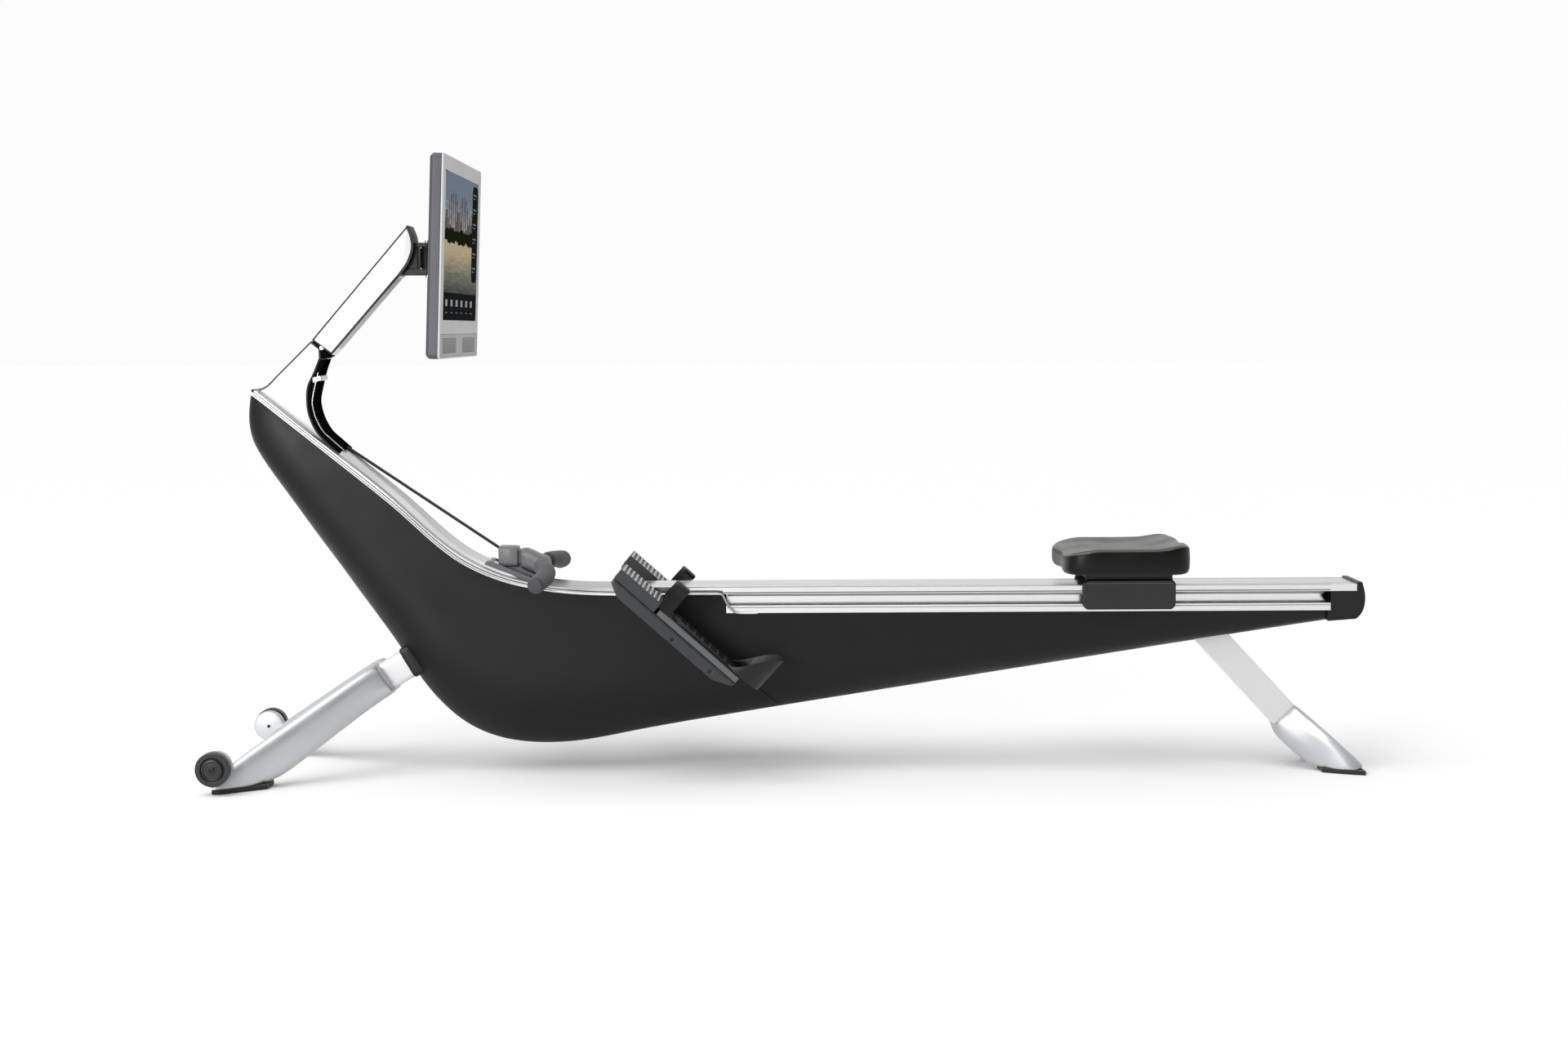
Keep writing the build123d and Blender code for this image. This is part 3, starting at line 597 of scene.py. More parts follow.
def make_neck_trim():
    """The neck's hollow side as a flat black sheet of painted shade, the thin bright line along it and the small
    bridge near its top.
    """
    edge = [tuple(p) for p in curve(hollow_edge, 6)]
    back = [tuple(p) for p in curve(white_edge, 6)]
    # The hollow side is a black sheet of painted shade.
    channel = make("neck_hollow", *prism(edge + back, 0.0345), None, "void", angle=35)
    bevelled(channel, 0.002, 3, 45)
    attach(channel, "frame")
    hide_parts("neck_channel")
    bright_line = curve([(x - 0.0052, z - 0.0012) for x, z in hollow_edge[1:]], 8)
    for side, name in right_then_left:
        path = [Vector((p[0], side * 0.0345, p[1])) for p in bright_line]
        make("neck_line_" + name, *grid(tube(path, 0.0011, 8)), "frame", "bead", angle=80)
    outline = mm_line([(-911, 757), (-893.5, 762), (-895.5, 771), (-911, 767)])
    bridge = make("neck_bridge", *prism(outline, 0.0352), None, "bead")
    bevelled(bridge, 0.0012, 3)
    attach(bridge, "frame")


def inset(outline, distance):
    """A closed side outline moved inwards by a distance."""
    area = sum(a[0] * b[1] - b[0] * a[1] for a, b in zip(outline, outline[1:] + outline[:1]))
    turn = 1 if area > 0 else -1
    moved = []
    for i, (x, z) in enumerate(outline):
        before, after = Vector(outline[i - 1]), Vector(outline[(i + 1) % len(outline)])
        first = (Vector((x, z)) - before).normalized()
        second = (after - Vector((x, z))).normalized()
        inward = Vector((-first[1] - second[1], first[0] + second[0])) * turn
        inward.normalize()
        square = max(0.5, inward.dot(Vector((-first[1], first[0])) * turn))
        moved.append((x + inward[0] * distance / square, z + inward[1] * distance / square))
    return moved


def edged_plate(name, outline, half, body, finish_name, replaces):
    """A thick plate whose rolled edges are painted a darker metal, as the dark reflection those rounded edges
    show.
    """
    rolled, margin = 0.0042, 0.0001
    depths = [(rolled, 0.0), (0.0020, 0.0006), (0.0006, 0.0020), (0.0, rolled)]
    near = [[Vector((x, sink - half, z)) for x, z in inset(outline, distance)] for distance, sink in depths]
    far = [[Vector((point.x, -point.y, point.z)) for point in row] for row in near[::-1]]
    rows = near + far
    plate = make(name, *grid(rows), body, finish_name, replaces, angle=50)
    # The rolled edges take the dark metal as painted dark reflection.
    plate.data.materials.append(finish["edge"].material)
    for polygon in plate.data.polygons:
        heights = [abs(plate.data.vertices[v].co.y) for v in polygon.vertices]
        if max(heights) > half - rolled - margin and min(heights) < half - margin:
            same_side = len({plate.data.vertices[v].co.y > 0 for v in polygon.vertices}) == 1
            polygon.material_index = 1 if same_side else 0
    return plate


def make_neck():
    """The silver neck: a clean side outline, with room on one side of the hinge for the folding arm."""
    back = curve(mm_line([(-1031, 745), (-1004, 750), (-975, 777), (-919, 832)]), 10)
    right = curve(white_edge[::-1], 8)
    top = mm_line([(-913.2, 837.4), (-894.6, 823.2), (-894.2, 801)])
    foot = mm_line([(-866, 617), (-1019, 739)])
    outline = [tuple(p) for p in back] + top + [tuple(p) for p in right] + foot
    edged_plate("neck_shell", outline, 0.0340, "frame", "crown", ("neck",))
    # A black disc of painted shade round the hinge, so the joint reads as a dark gap.
    rows = [oval((-0.893, y, 0.824), (1, 0, 0), (0, 0, 1), radius, radius, 2, 56)
            for y, radius in ((-0.0322, 0.0195), (-0.0314, 0.0210), (0.0314, 0.0210), (0.0322, 0.0195))]
    make("hinge_shade_disc", *grid(rows), "arm", "void", angle=40)


arm_tip = [(-742, 960), (-730, 975.5), (-721.5, 990), (-714.5, 1013), (-716.5, 1036)]


def make_arm():
    """The display arm, from the hinge line to its rounded tip, with painted dark reflection on its rolled edges.
    """
    tip = curve(mm_line(arm_tip + [(-725, 1057)]), 8)
    outline = mm_line([(-912, 839), (-874, 810)]) + [tuple(p) for p in tip]
    edged_plate("arm_shell", outline, 0.0340, "arm", "arm", ("arm_beam", "arm_cap"))


def make_rail_lines():
    """The painted shadow lines of the rail's section, and painted shade at the round end of its side recess."""
    strips = [
        ("under_flange", 350.4, 352.6, 63.7, -298, "strip"),
        ("flange_top", 361.4, 362.9, 63.7, -298, "panel"),
        ("recess_top", 342.0, 349.0, 40.4, -118, "panel"),
        ("ledge", 321.6, 323.6, 63.7, -118, "panel"),
    ]
    for name, low, high, half_y, start, finish_name in strips:
        for side, side_name in left_then_right:
            outline = mm_line([(start, low), (1040.5, low), (1040.5, high), (start, high)])
            strip = prism(outline, 0.0003, side * (half_y - 0.15) / 1000)
            make("rail_line_%s_%s" % (name, side_name), *strip, "frame", finish_name)
    # A black arc of painted shade at the recess's round end.
    arc = [math.radians(90 + 10 * step) for step in range(19)]
    outline = [(1.0415 + 0.0110 * math.cos(a), 0.3378 + 0.0110 * math.sin(a)) for a in arc]
    make("recess_end", *prism(outline, 0.0632), "frame", "void", angle=50)


def make_handle_rest():
    """The raised block on the cradle that the handle's stem lies on."""
    outline = mm_line([(-560, 397.5), (-560, 399.6), (-524, 399.6), (-519, 399.0), (-506, 391.4), (-492, 385.6),
                       (-480, 383.2), (-472, 382), (-470, 375), (-520, 384)])
    rest = make("handle_rest", *prism(outline, 0.0200), None, "tray")
    bevelled(rest, 0.0012, 2, 40)
    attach(rest, "frame")


def make_spine():
    """The raised crown along the middle of the deck, faired into it on every side."""
    lip = curve(mm_line([(-867, 613), (-758, 524), (-671, 445), (-612, 404), (-545, 376), (-500, 364)]), 10)
    rows = []
    for i, point in enumerate(lip):
        ahead = (lip[min(i + 1, len(lip) - 1)] - lip[max(i - 1, 0)]).normalized()
        out = Vector((-ahead[1], ahead[0]))
        share = i / (len(lip) - 1)
        rise = 0.0128 * smooth_step(1.0, 0.80, share) if share > 0.8 else 0.0128
        half = 0.046 * (1 - 0.35 * smooth_step(0.8, 1.0, share))
        row = []
        for k in range(25):
            u = -1 + 2 * k / 24
            height = 0.0092 + rise * (1 - abs(u) ** 2.6) ** 0.9
            row.append(Vector((point[0] + out[0] * height, u * half, point[1] + out[1] * height)))
        rows.append(row)
    verts, faces = grid(rows, close=False)
    for i in (0, len(rows) - 1):
        first = i * 25
        faces.append(tuple(first + k for k in range(25)))
    crown = make("deck_crown", verts, faces, "frame", "crown", angle=60)
    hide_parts("deck_spine")


def leg_rows(stations, origin, along, square, floor, side):
    """Rings down one leg of a casting. A station is (distance, low, high, inner y, outer y, squareness)."""
    rows = []
    places = [(origin[0] + along[0] * d, (near + far) / 2) for d, low, high, near, far, power in stations]

    def middle_y(x):
        for (xa, ya), (xb, yb) in zip(places, places[1:]):
            if min(xa, xb) <= x <= max(xa, xb):
                return ya + (yb - ya) * (x - xa) / (xb - xa)
        first, last = places[0], places[-1]
        return first[1] if abs(x - first[0]) < abs(x - last[0]) else last[1]

    for d, low, high, near, far, power in stations:
        centre = (origin[0] + along[0] * d, origin[1] + along[1] * d)
        ring = []
        for k in range(40):
            u, v = superellipse(k, 40, power)
            n = (low + high) / 2 + v * (high - low) / 2
            x = centre[0] + square[0] * n
            z = max(floor, centre[1] + square[1] * n)
            y = middle_y(x) + u * (far - near) / 2
            ring.append(Vector((x / 1000, side * y / 1000, z / 1000)))
        rows.append(ring)
    return rows


front_stations = [
    (-1, -27, 27, 2, 62, 3.2), (0.5, -32, 32, -2, 67, 3.2), (5, -34, 34.5, -4, 70, 3.0),
    (22, -33, 36.5, 0, 79, 2.8), (64, -33, 36.5, 28, 102, 2.6), (92, -34.5, 36.5, 48, 119, 2.5),
    (121, -36, 36, 67, 135, 2.5), (151, -37.5, 35.5, 88, 153, 2.5), (200, -40, 35, 121, 180, 2.5),
    (248, -42, 34.5, 150, 206, 2.5), (284, -46, 33, 174, 226, 2.5), (315, -48, 29, 196, 243, 2.6),
    (338, -46, 24, 213, 253, 2.8), (350, -40, 19, 222, 254, 3.0),
]
rear_stations = [
    (-1, -21, 22, 2, 33, 3.2), (0.5, -26, 27, -2, 38, 3.2), (6, -29, 30, -4, 42, 3.0),
    (26, -37.5, 31.5, -4, 54, 2.7), (46, -37, 33.5, -4, 63, 2.6), (70, -34, 36, 8, 72, 2.6),
    (95, -33, 38, 32, 83, 2.6), (125, -38, 40, 50, 95, 2.6), (150, -44, 42, 60, 103, 2.7),
    (170, -48, 43, 68, 108, 2.9),
]


def make_castings():
    """The two forked leg castings, full and rounded, with the wheel ears on the front one."""
    for name, stations, origin, along, square in (
        ("front", front_stations, (-779, 188), (-0.832, -0.555), (-0.555, 0.832)),
        ("rear", rear_stations, (961, 104), (0.680, -0.733), (0.733, 0.680)),
    ):
        for side, side_name in right_then_left:
            rows = leg_rows(stations, origin, along, square, 8.6, side)
            leg = make("%s_leg_%s" % (name, side_name), *grid(rows), None, "cast", angle=55)
            subdivided(leg, 60)
            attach(leg, "frame")
            if side > 0:
                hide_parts(name + "_arch")
    ear_radii = (0.0250, 0.0284, 0.0296, 0.0300, 0.0300, 0.0296, 0.0270)
    ear_heights = (0, 0.0008, 0.0026, 0.005, 0.018, 0.0202, 0.0215)
    for side, name in right_then_left:
        ring_plate((-1.065, side * 0.2305, 0.050), (0, side, 0), ear_radii, ear_heights,
                   "wheel_ear_" + name, "frame", "cast", 48)


def make_front_post():
    """The front leg's flat-sided tube, from inside the casting to inside the hull's boot."""
    start, end = Vector((-0.7900, 0, 0.1817)), Vector((-0.7310, 0, 0.2170))
    ahead = (end - start).normalized()
    across = Vector((0, 1, 0))
    up = ahead.cross(across)
    rows = [oval(start.lerp(end, share), across, up, 0.0378, 0.0283, 8, 56) for share in (0, 0.35, 0.7, 1)]
    post = make("front_leg_tube", *grid(rows), "frame", "post", angle=40)
    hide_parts("front_post")


def make_arm_edge():
    """A thin black strip round the arm's outer tip, painted as the dark reflection along its rounded edge."""
    line = curve(mm_line(arm_tip + [(-724, 1056)]), 6)
    inside = [(x - 0.0028, z + 0.0006) for x, z in line]
    outside = [(x + 0.0012, z) for x, z in line]
    edge = make("arm_tip_painted_reflection", *prism(outside + inside[::-1], 0.0348), None, "black", angle=40)
    bevelled(edge, 0.0006, 2, 45)
    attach(edge, "arm")


def make_swivel_sleeve():
    """The ribbed cover round the swivel's barrel."""
    rows = []
    for step in range(25):
        z = 0.976 + 0.038 * step / 24
        radius = 0.0135 + 0.0006 * math.cos(step * math.pi)
        rows.append(oval((-0.692, 0, z), (1, 0, 0), (0, 1, 0), radius, radius, 2, 32))
    make("swivel_sleeve", *grid(rows), "swivel", "black", angle=60)


def ring_plate(centre, direction, radii, thick, name, body, finish_name, count=40):
    """A stepped round boss: radii outward and their heights along a direction."""
    axis = Vector(direction).normalized()
    across = axis.orthogonal().normalized()
    up = axis.cross(across)
    rows = [oval(Vector(centre) + axis * height, across, up, radius, radius, 2, count)
            for radius, height in zip(radii, thick)]
    make(name, *grid(rows), body, finish_name, angle=34)


def bolt_head(centre, direction, radius, height, name, body, finish_name="steel"):
    """A round bolt head with a dished socket."""
    radii = [radius * share for share in (0.92, 1, 1, 0.88, 0.5, 0.46)]
    heights = [height * share for share in (0, 0.15, 0.75, 1, 1, 0.5)]
    ring_plate(centre, direction, radii, heights, name, body, finish_name, 24)


def make_collar():
    """The black boot where the front leg post enters the hull."""
    start, end = Vector((-0.7392, 0, 0.2132)), Vector((-0.7110, 0, 0.2300))
    ahead = (end - start).normalized()
    across = Vector((0, 1, 0))
    up = ahead.cross(across)
    rows = []
    for share, grow in ((0, 0.0), (0.06, 0.0018), (0.25, 0.0022), (0.5, 0.002), (1, -0.002)):
        rows.append(oval(start.lerp(end, share), across, up, 0.0395 + grow, 0.0298 + grow, 9, 64))
    make("front_collar", *grid(rows), "frame", "black", angle=40)


def make_wheel_hubs():
    for side, body in ((1, "wheel_left"), (-1, "wheel_right")):
        low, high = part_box(body)
        middle = (low + high) / 2
        face_y = high.y if side > 0 else low.y
        centre = (middle.x, face_y - side * 0.001, middle.z)
        ring_plate(centre, (0, side, 0), (0.019, 0.019, 0.0165, 0.0162, 0.0095, 0.009),
                   (0, 0.0015, 0.0022, 0.0008, 0.0008, 0.002), "hub_" + body, body, "wheel")
        bolt_head((middle.x, face_y + side * 0.0005, middle.z), (0, side, 0), 0.0056, 0.0035,
                 "bolt_" + body, body, "gloss")
        bolt_head((middle.x, side * 0.2298, middle.z), (0, -side, 0), 0.0032, 0.001,
                 "ear_bolt_" + body, "frame", "gloss")


def make_end_bolts():
    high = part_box("end_cap")[1]
    for side in (-1, 1):
        for height in (0.322, 0.349):
            bolt_head((high.x - 0.001, side * 0.036, height), (1, 0, 0), 0.0045, 0.003,
                     "cap_bolt_%d_%d" % (side + 1, int(height * 1000)), "frame")


# ---------------------------------------------------------------- display

lean = math.radians(2.2)
face_origin = Vector((-0.6265, 0, 0.990))
face_out = Vector((math.cos(lean), 0, -math.sin(lean)))
face_up = Vector((math.sin(lean), 0, math.cos(lean)))
screen_middle = 0.022
screen_wide, screen_high = 0.4866, 0.2736


def on_face(across, up, out=0.0):
    return face_origin + Vector((0, across, 0)) + face_up * up + face_out * out


def panel_piece(name, boxes, finish_object, out=0.0, deep=0.0003):
    """Flat rounded tiles lying just off the face; each is (across, up, width, height)."""
    verts, faces = [], []
    for across, up, width, height in boxes:
        radius = min(width, height) * 0.22
        first = len(verts)
        ring = []
        for cx, cy, start in ((1, 1, 0), (-1, 1, 90), (-1, -1, 180), (1, -1, 270)):
            for step in range(5):
                angle = math.radians(start + 22.5 * step)
                ring.append((across + cx * (width / 2 - radius) + radius * math.cos(angle),
                             up + cy * (height / 2 - radius) + radius * math.sin(angle)))
        verts += [on_face(a, b, out) for a, b in ring] + [on_face(a, b, out + deep) for a, b in ring]
        count = len(ring)
        faces.append(tuple(first + k for k in range(count - 1, -1, -1)))
        faces.append(tuple(first + count + k for k in range(count)))
        for k in range(count):
            n = (k + 1) % count
            faces.append((first + k, first + n, first + count + n, first + count + k))
    mesh = bpy.data.meshes.new(name)
    mesh.from_pydata([tuple(v) for v in verts], [], faces)
    piece = add_object(name, mesh)
    piece.data.materials.append(finish_object)
    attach(piece, "display")
    return piece


def lit(name, color, strength):
    """A glowing surface under glass, a little uneven like a real backlight."""
    made = Shader(name, [c * 0.05 for c in color], 0.3, specular=0.0)
    made.surface.inputs["Emission Strength"].default_value = strength
    dimmer = [c * 0.92 for c in color]
    brighter = [c * 1.08 for c in color]
    made.mix_colors(made.noise(18, detail=2), dimmer, brighter, "Emission Color")
    return made.material


def scenic(name, stops, low, high, ripple=0.0):
    """A glowing band of sky or water that changes colour with height on the screen."""
    made = Shader(name, (0.01, 0.01, 0.012), 0.3, specular=0.0)
    made.surface.inputs["Emission Strength"].default_value = 0.8
    where = made.node("ShaderNodeTexCoord").outputs["Object"]
    parts = made.node("ShaderNodeSeparateXYZ", Vector=where)
    height = parts.outputs["Z"]
    if ripple:
        waves = made.noise(34, (1, 0.5, 6), detail=4)
        height = made.math("MULTIPLY_ADD", waves, ripple, height)
    share = made.node("ShaderNodeMapRange", Value=height)
    share.inputs["From Min"].default_value = low
    share.inputs["From Max"].default_value = high
    ramp = made.node("ShaderNodeValToRGB", Fac=share.outputs[0])
    ramp.color_ramp.elements[0].position = stops[0][0]
    ramp.color_ramp.elements[0].color = (*stops[0][1], 1)
    ramp.color_ramp.elements[1].position = stops[-1][0]
    ramp.color_ramp.elements[1].color = (*stops[-1][1], 1)
    for position, color in stops[1:-1]:
        ramp.color_ramp.elements.new(position).color = (*color, 1)
    made.link(ramp.outputs["Color"], "Emission Color")
    return made.material


def windows(name):
    """Dark towers with rows of small lit windows."""
    made = Shader(name, (0.02, 0.02, 0.03), 0.2, specular=0.0)
    made.surface.inputs["Emission Strength"].default_value = 0.8
    where = made.node("ShaderNodeTexCoord").outputs["Object"]
    parts = made.node("ShaderNodeSeparateXYZ", Vector=where)
    flat = made.node("ShaderNodeCombineXYZ", X=parts.outputs["Y"], Y=parts.outputs["Z"])
    bricks = made.node("ShaderNodeTexBrick", Vector=flat.outputs[0])
    for key, value in (("Scale", 1.0), ("Brick Width", 0.0021), ("Row Height", 0.0027), ("Mortar Size", 0.0006)):
        bricks.inputs[key].default_value = value
    bricks.inputs["Color1"].default_value = (0.42, 0.30, 0.17, 1)
    bricks.inputs["Color2"].default_value = (0.05, 0.05, 0.055, 1)
    bricks.inputs["Mortar"].default_value = (0.045, 0.04, 0.045, 1)
    bricks.offset = 0.0
    made.link(bricks.outputs["Color"], "Emission Color")
    return made.material


def make_screen():
    """A dusk waterfront of the builder's own, with plain blank metric tiles over it."""
    half_wide, half_high = screen_wide / 2, screen_high / 2
    low_z, high_z = 0.990 + screen_middle - half_high, 0.990 + screen_middle + half_high
    horizon = screen_middle + 0.018
    sky = scenic("sky_glow", [(0.0, (0.90, 0.52, 0.25)), (0.3, (0.72, 0.50, 0.36)), (0.65, (0.36, 0.36, 0.40)),
                              (1.0, (0.17, 0.21, 0.27))], 0.990 + horizon, high_z, ripple=0.10)
    water = scenic("water_glow", [(0.0, (0.012, 0.016, 0.02)), (0.42, (0.035, 0.04, 0.038)),
                                  (0.7, (0.17, 0.17, 0.13)), (1.0, (0.50, 0.40, 0.25))],
                   low_z, 0.990 + horizon, ripple=0.05)
    sky_high = screen_middle + half_high - horizon
    water_high = horizon - (screen_middle - half_high)
    sky_piece = panel_piece("screen_sky", [(0, horizon + sky_high / 2, screen_wide, sky_high)], sky, out=-0.0012)
    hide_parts("screen")
    panel_piece("screen_water", [(0, horizon - water_high / 2, screen_wide, water_high)], water, out=-0.0012)
    towers, across = [], -half_wide + 0.008
    step = 0
    while across < half_wide - 0.01:
        width = 0.008 + 0.007 * abs(math.sin(step * 2.3))
        height = 0.016 + 0.080 * abs(math.sin(step * 1.7 + 0.6)) ** 2 * (1 - abs(across + 0.06) * 1.9)
        towers.append((across, horizon + height / 2, width, height))
        across += width + 0.0015
        step += 1
    panel_piece("screen_towers", towers, windows("tower_windows"), out=-0.00085, deep=0.0001)
    trees = [(-half_wide + 0.012 + 0.021 * k, horizon + 0.002 + 0.002 * math.sin(k * 1.9), 0.026,
              0.018 + 0.010 * abs(math.sin(k * 2.7))) for k in range(22)]
    panel_piece("screen_trees", trees, lit("tree_line", (0.012, 0.018, 0.009), 0.6), out=-0.0007, deep=0.0001)
    bar_up = screen_middle - half_high + 0.026
    dark = lit("metric_bar", (0.016, 0.017, 0.019), 0.6)
    panel_piece("screen_metric_bar", [(0, bar_up, screen_wide - 0.004, 0.050),
                                      (half_wide - 0.046, screen_middle + 0.034, 0.084, 0.190)], dark,
                out=-0.0006, deep=0.0001)
    pale = lit("metric_mark", (0.6, 0.61, 0.62), 0.75)
    dim = lit("metric_dim", (0.22, 0.22, 0.23), 0.7)
    big, small, rows = [], [], []
    for k in range(6):
        middle = -half_wide + 0.045 + 0.072 * k
        big += [(middle - 0.010, bar_up + 0.006, 0.0045, 0.0125), (middle, bar_up + 0.006, 0.0065, 0.0125),
                (middle + 0.011, bar_up + 0.006, 0.0035, 0.0125)]
        small.append((middle, bar_up - 0.012, 0.022, 0.0022))
        rows.append((half_wide - 0.052, screen_middle + 0.112 - 0.029 * k, 0.050, 0.003))
        rows.append((half_wide - 0.060, screen_middle + 0.105 - 0.029 * k, 0.034, 0.002))
    panel_piece("screen_marks", big, pale, out=-0.0004, deep=0.0001)
    panel_piece("screen_small_marks", small + rows, dim, out=-0.0004, deep=0.0001)


# ---------------------------------------------------------------- seat

def smooth_step(low, high, value):
    t = max(0.0, min(1.0, (value - low) / (high - low)))
    return t * t * (3 - 2 * t)


def seat_top(x, y):
    """Height of the seat's upper surface over a point measured from its middle."""
    bones = sum(math.exp(-((x + 0.004) ** 2 / 0.0045 + (y - side * 0.060) ** 2 / 0.0034)) for side in (-1, 1))
    tail = math.exp(-(y ** 2 / 0.0006)) * smooth_step(0.02, 0.10, x)
    front_channel = math.exp(-(y ** 2 / 0.0016)) * smooth_step(0.0, -0.10, x)
    front_fall = smooth_step(-0.055, -0.119, x) * 0.0075
    rear_lip = smooth_step(0.050, 0.112, x) * 0.0080
    side_lip = smooth_step(0.100, 0.146, abs(y)) * 0.0040
    return 0.4358 - 0.0095 * bones - 0.006 * tail - 0.005 * front_channel - front_fall + rear_lip + side_lip


def make_seat():
    """A moulded foam pad: two dishes, a tail relief, a raised rear lip and rolled sides."""
    low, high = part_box("seat_pad")
    middle = (low + high) / 2
    half_x, half_y = (high.x - low.x) / 2 + 0.0035, (high.y - low.y) / 2 + 0.001
    spokes = 128

    def ring(share, sink=0.0, z=None):
        row = []
        for k in range(spokes):
            u, v = superellipse(k, spokes, 6)
            x = u * half_x * share
            y = v * half_y * share
            if x < 0:
                x *= 1 - 0.09 * math.exp(-(y ** 2 / 0.0024))
            height = z if z is not None else seat_top(x, y) - sink
            row.append(Vector((middle.x + x, y, height)))
        return row

    rows = [ring(share) for share in (0.02, 0.12, 0.24, 0.36, 0.48, 0.6, 0.7, 0.79, 0.86, 0.91)]
    for turn in range(1, 7):
        angle = math.radians(90 * turn / 6)
        rows.append(ring(0.91 + 0.085 * math.sin(angle), 0.010 * (1 - math.cos(angle))))
    for share, z in ((1.0, 0.4190), (1.0, 0.4075), (0.997, 0.4000), (0.985, 0.3935), (0.962, 0.3895),
                     (0.930, 0.3884), (0.900, low.z + 0.0002)):
        rows.append(ring(share, z=z))
    pad = make("seat_cushion", *grid(rows), None, "seat", angle=60)
    subdivided(pad, 70)
    # Faces that look up get the lighter copy of the foam: painted light on the top, against the sides' painted
    # shade.
    pad.data.materials.append(finish["seat_top"].material)
    for polygon in pad.data.polygons:
        if polygon.normal.z > 0.55:
            polygon.material_index = 1
    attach(pad, "seat")
    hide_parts("seat_pad")


def make_carriage_trim():
    """The raised tray under the pad and the parting line along both covers."""
    levels = ((0.3765, 0.082, 0.0700), (0.3775, 0.0845, 0.0715),
              (0.3850, 0.0860, 0.0730), (0.3879, 0.0850, 0.0720))
    rows = [oval((0.653, 0, z), (1, 0, 0), (0, 1, 0), half_x, half_y, 7, 72) for z, half_x, half_y in levels]
    make("carriage_tray", *grid(rows), "seat", "black", angle=40)
    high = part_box("carriage_covers")[1]
    for side, name in right_then_left:
        y = side * (high.y + 0.0002)
        outline = mm_line([(570, 366.2), (736, 366.2), (736, 367.4), (570, 367.4)])
        make("carriage_line_" + name, *prism(outline, 0.0006, y), "seat", "tray")


# ---------------------------------------------------------------- footboards, straps and grips

board_slope = math.radians(41.5)


def board_point(side, s, h, y=0.0):
    along = Vector((math.cos(board_slope), 0, -math.sin(board_slope)))
    out = Vector((math.sin(board_slope), 0, math.cos(board_slope)))
    return Vector((-0.326, side * 0.140 + y, 0.394)) + along * s + out * h


def make_foot_straps():
    """Webbing arches over both footboards, with folded edges."""
    for side, name in left_then_right:
        rows = []
        for k in range(49):
            angle = math.pi * k / 48
            y = -0.0525 * math.cos(angle)
            h = 0.030 + 0.0340 * math.sin(angle) ** 0.92 if math.sin(angle) > 1e-6 else 0.030
            rows.append((y, h))
        rows = [(-0.0525, 0.0125), (-0.0525, 0.018), (-0.0525, 0.024)] + rows
        rows += [(0.0525, 0.024), (0.0525, 0.018), (0.0525, 0.0125)]
        rings = []
        for i, (y, h) in enumerate(rows):
            ahead = Vector(rows[min(i + 1, len(rows) - 1)]) - Vector(rows[max(i - 1, 0)])
            ahead.normalize()
            out_y, out_h = -ahead[1], ahead[0]
            ring = []
            for u, v in ((-1, -0.6), (-0.97, -1), (-0.4, -0.9), (0.4, -0.9), (0.97, -1), (1, -0.6), (1, 0.6),
                         (0.97, 1), (0.82, 1), (0.78, 0.72), (0.0, 0.66), (-0.78, 0.72), (-0.82, 1), (-0.97, 1),
                         (-1, 0.6)):
                ring.append(board_point(side, 0.110 + u * 0.0150, h + out_h * v * 0.0013,
                                        y + out_y * v * 0.0013))
            rings.append(ring)
        strap = make("foot_strap_" + name, *grid(rings), "frame", "foot_webbing", angle=75)
        if side > 0:
            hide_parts("foot_straps")


def make_buckles():
    """A low rounded buckle on the crown of each foot strap."""
    for side, name in left_then_right:
        rings = []
        for h, grow in ((0.0620, 0.88), (0.0630, 1.0), (0.0688, 1.0), (0.0702, 0.84)):
            ring = []
            for k in range(40):
                u, v = superellipse(k, 40, 5)
                ring.append(board_point(side, 0.110 + u * 0.0165 * grow, h, v * 0.0150 * grow))
            rings.append(ring)
        buckle = make("strap_buckle_" + name, *grid(rings), "frame", "black", angle=40)
        if side > 0:
            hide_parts("strap_buckles")


def make_yoke():
    """The handle's clamp, its waisted stem and the saddle round the bar, as one moulding."""
    sections = [
        (-0.5602, 0.4200, 0.0272, 0.0180, 6), (-0.5590, 0.4200, 0.0280, 0.0190, 7),
        (-0.5300, 0.4195, 0.0278, 0.0190, 7), (-0.5240, 0.4190, 0.0272, 0.0184, 6),
        (-0.5225, 0.4175, 0.0215, 0.0158, 5), (-0.5185, 0.4165, 0.0205, 0.0156, 4),
        (-0.5160, 0.4155, 0.0245, 0.0186, 4), (-0.5060, 0.4135, 0.0260, 0.0208, 3.6),
        (-0.4950, 0.4085, 0.0300, 0.0212, 3.2), (-0.4840, 0.4045, 0.0350, 0.0198, 2.8),
        (-0.4740, 0.4035, 0.0350, 0.0178, 2.5), (-0.4660, 0.4035, 0.0300, 0.0140, 2.4),
        (-0.4620, 0.4037, 0.0200, 0.0075, 2.2),
    ]
    rows = [oval((x, 0, z), (0, 1, 0), (0, 0, 1), half_y, half_z, power, 48)
            for x, z, half_y, half_z, power in sections]
    yoke = make("handle_yoke_moulding", *grid(rows), "handle", "yoke", angle=50)
    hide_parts("handle_yoke")


def make_toe_teeth():
    """Rounded ridges across both toe pads, in a light grey painted as the highlight they catch."""
    for side, name in left_then_right:
        verts, faces = [], []
        for row in range(10):
            s = 0.0045 + 0.0095 * row
            rings = []
            for y, grow in ((-0.0545, 0.55), (-0.0535, 0.9), (-0.0500, 1.0), (0.0500, 1.0), (0.0535, 0.9),
                            (0.0545, 0.55)):
                ring = []
                for k in range(12):
                    angle = 2 * math.pi * k / 12
                    ring.append(board_point(side, s + 0.0023 * grow * math.cos(angle),
                                            0.0212 + 0.0024 * grow * math.sin(angle), y))
                rings.append(ring)
            add_skin(verts, faces, rings)
        make("toe_teeth_" + name, verts, faces, "frame", "rib", angle=50)


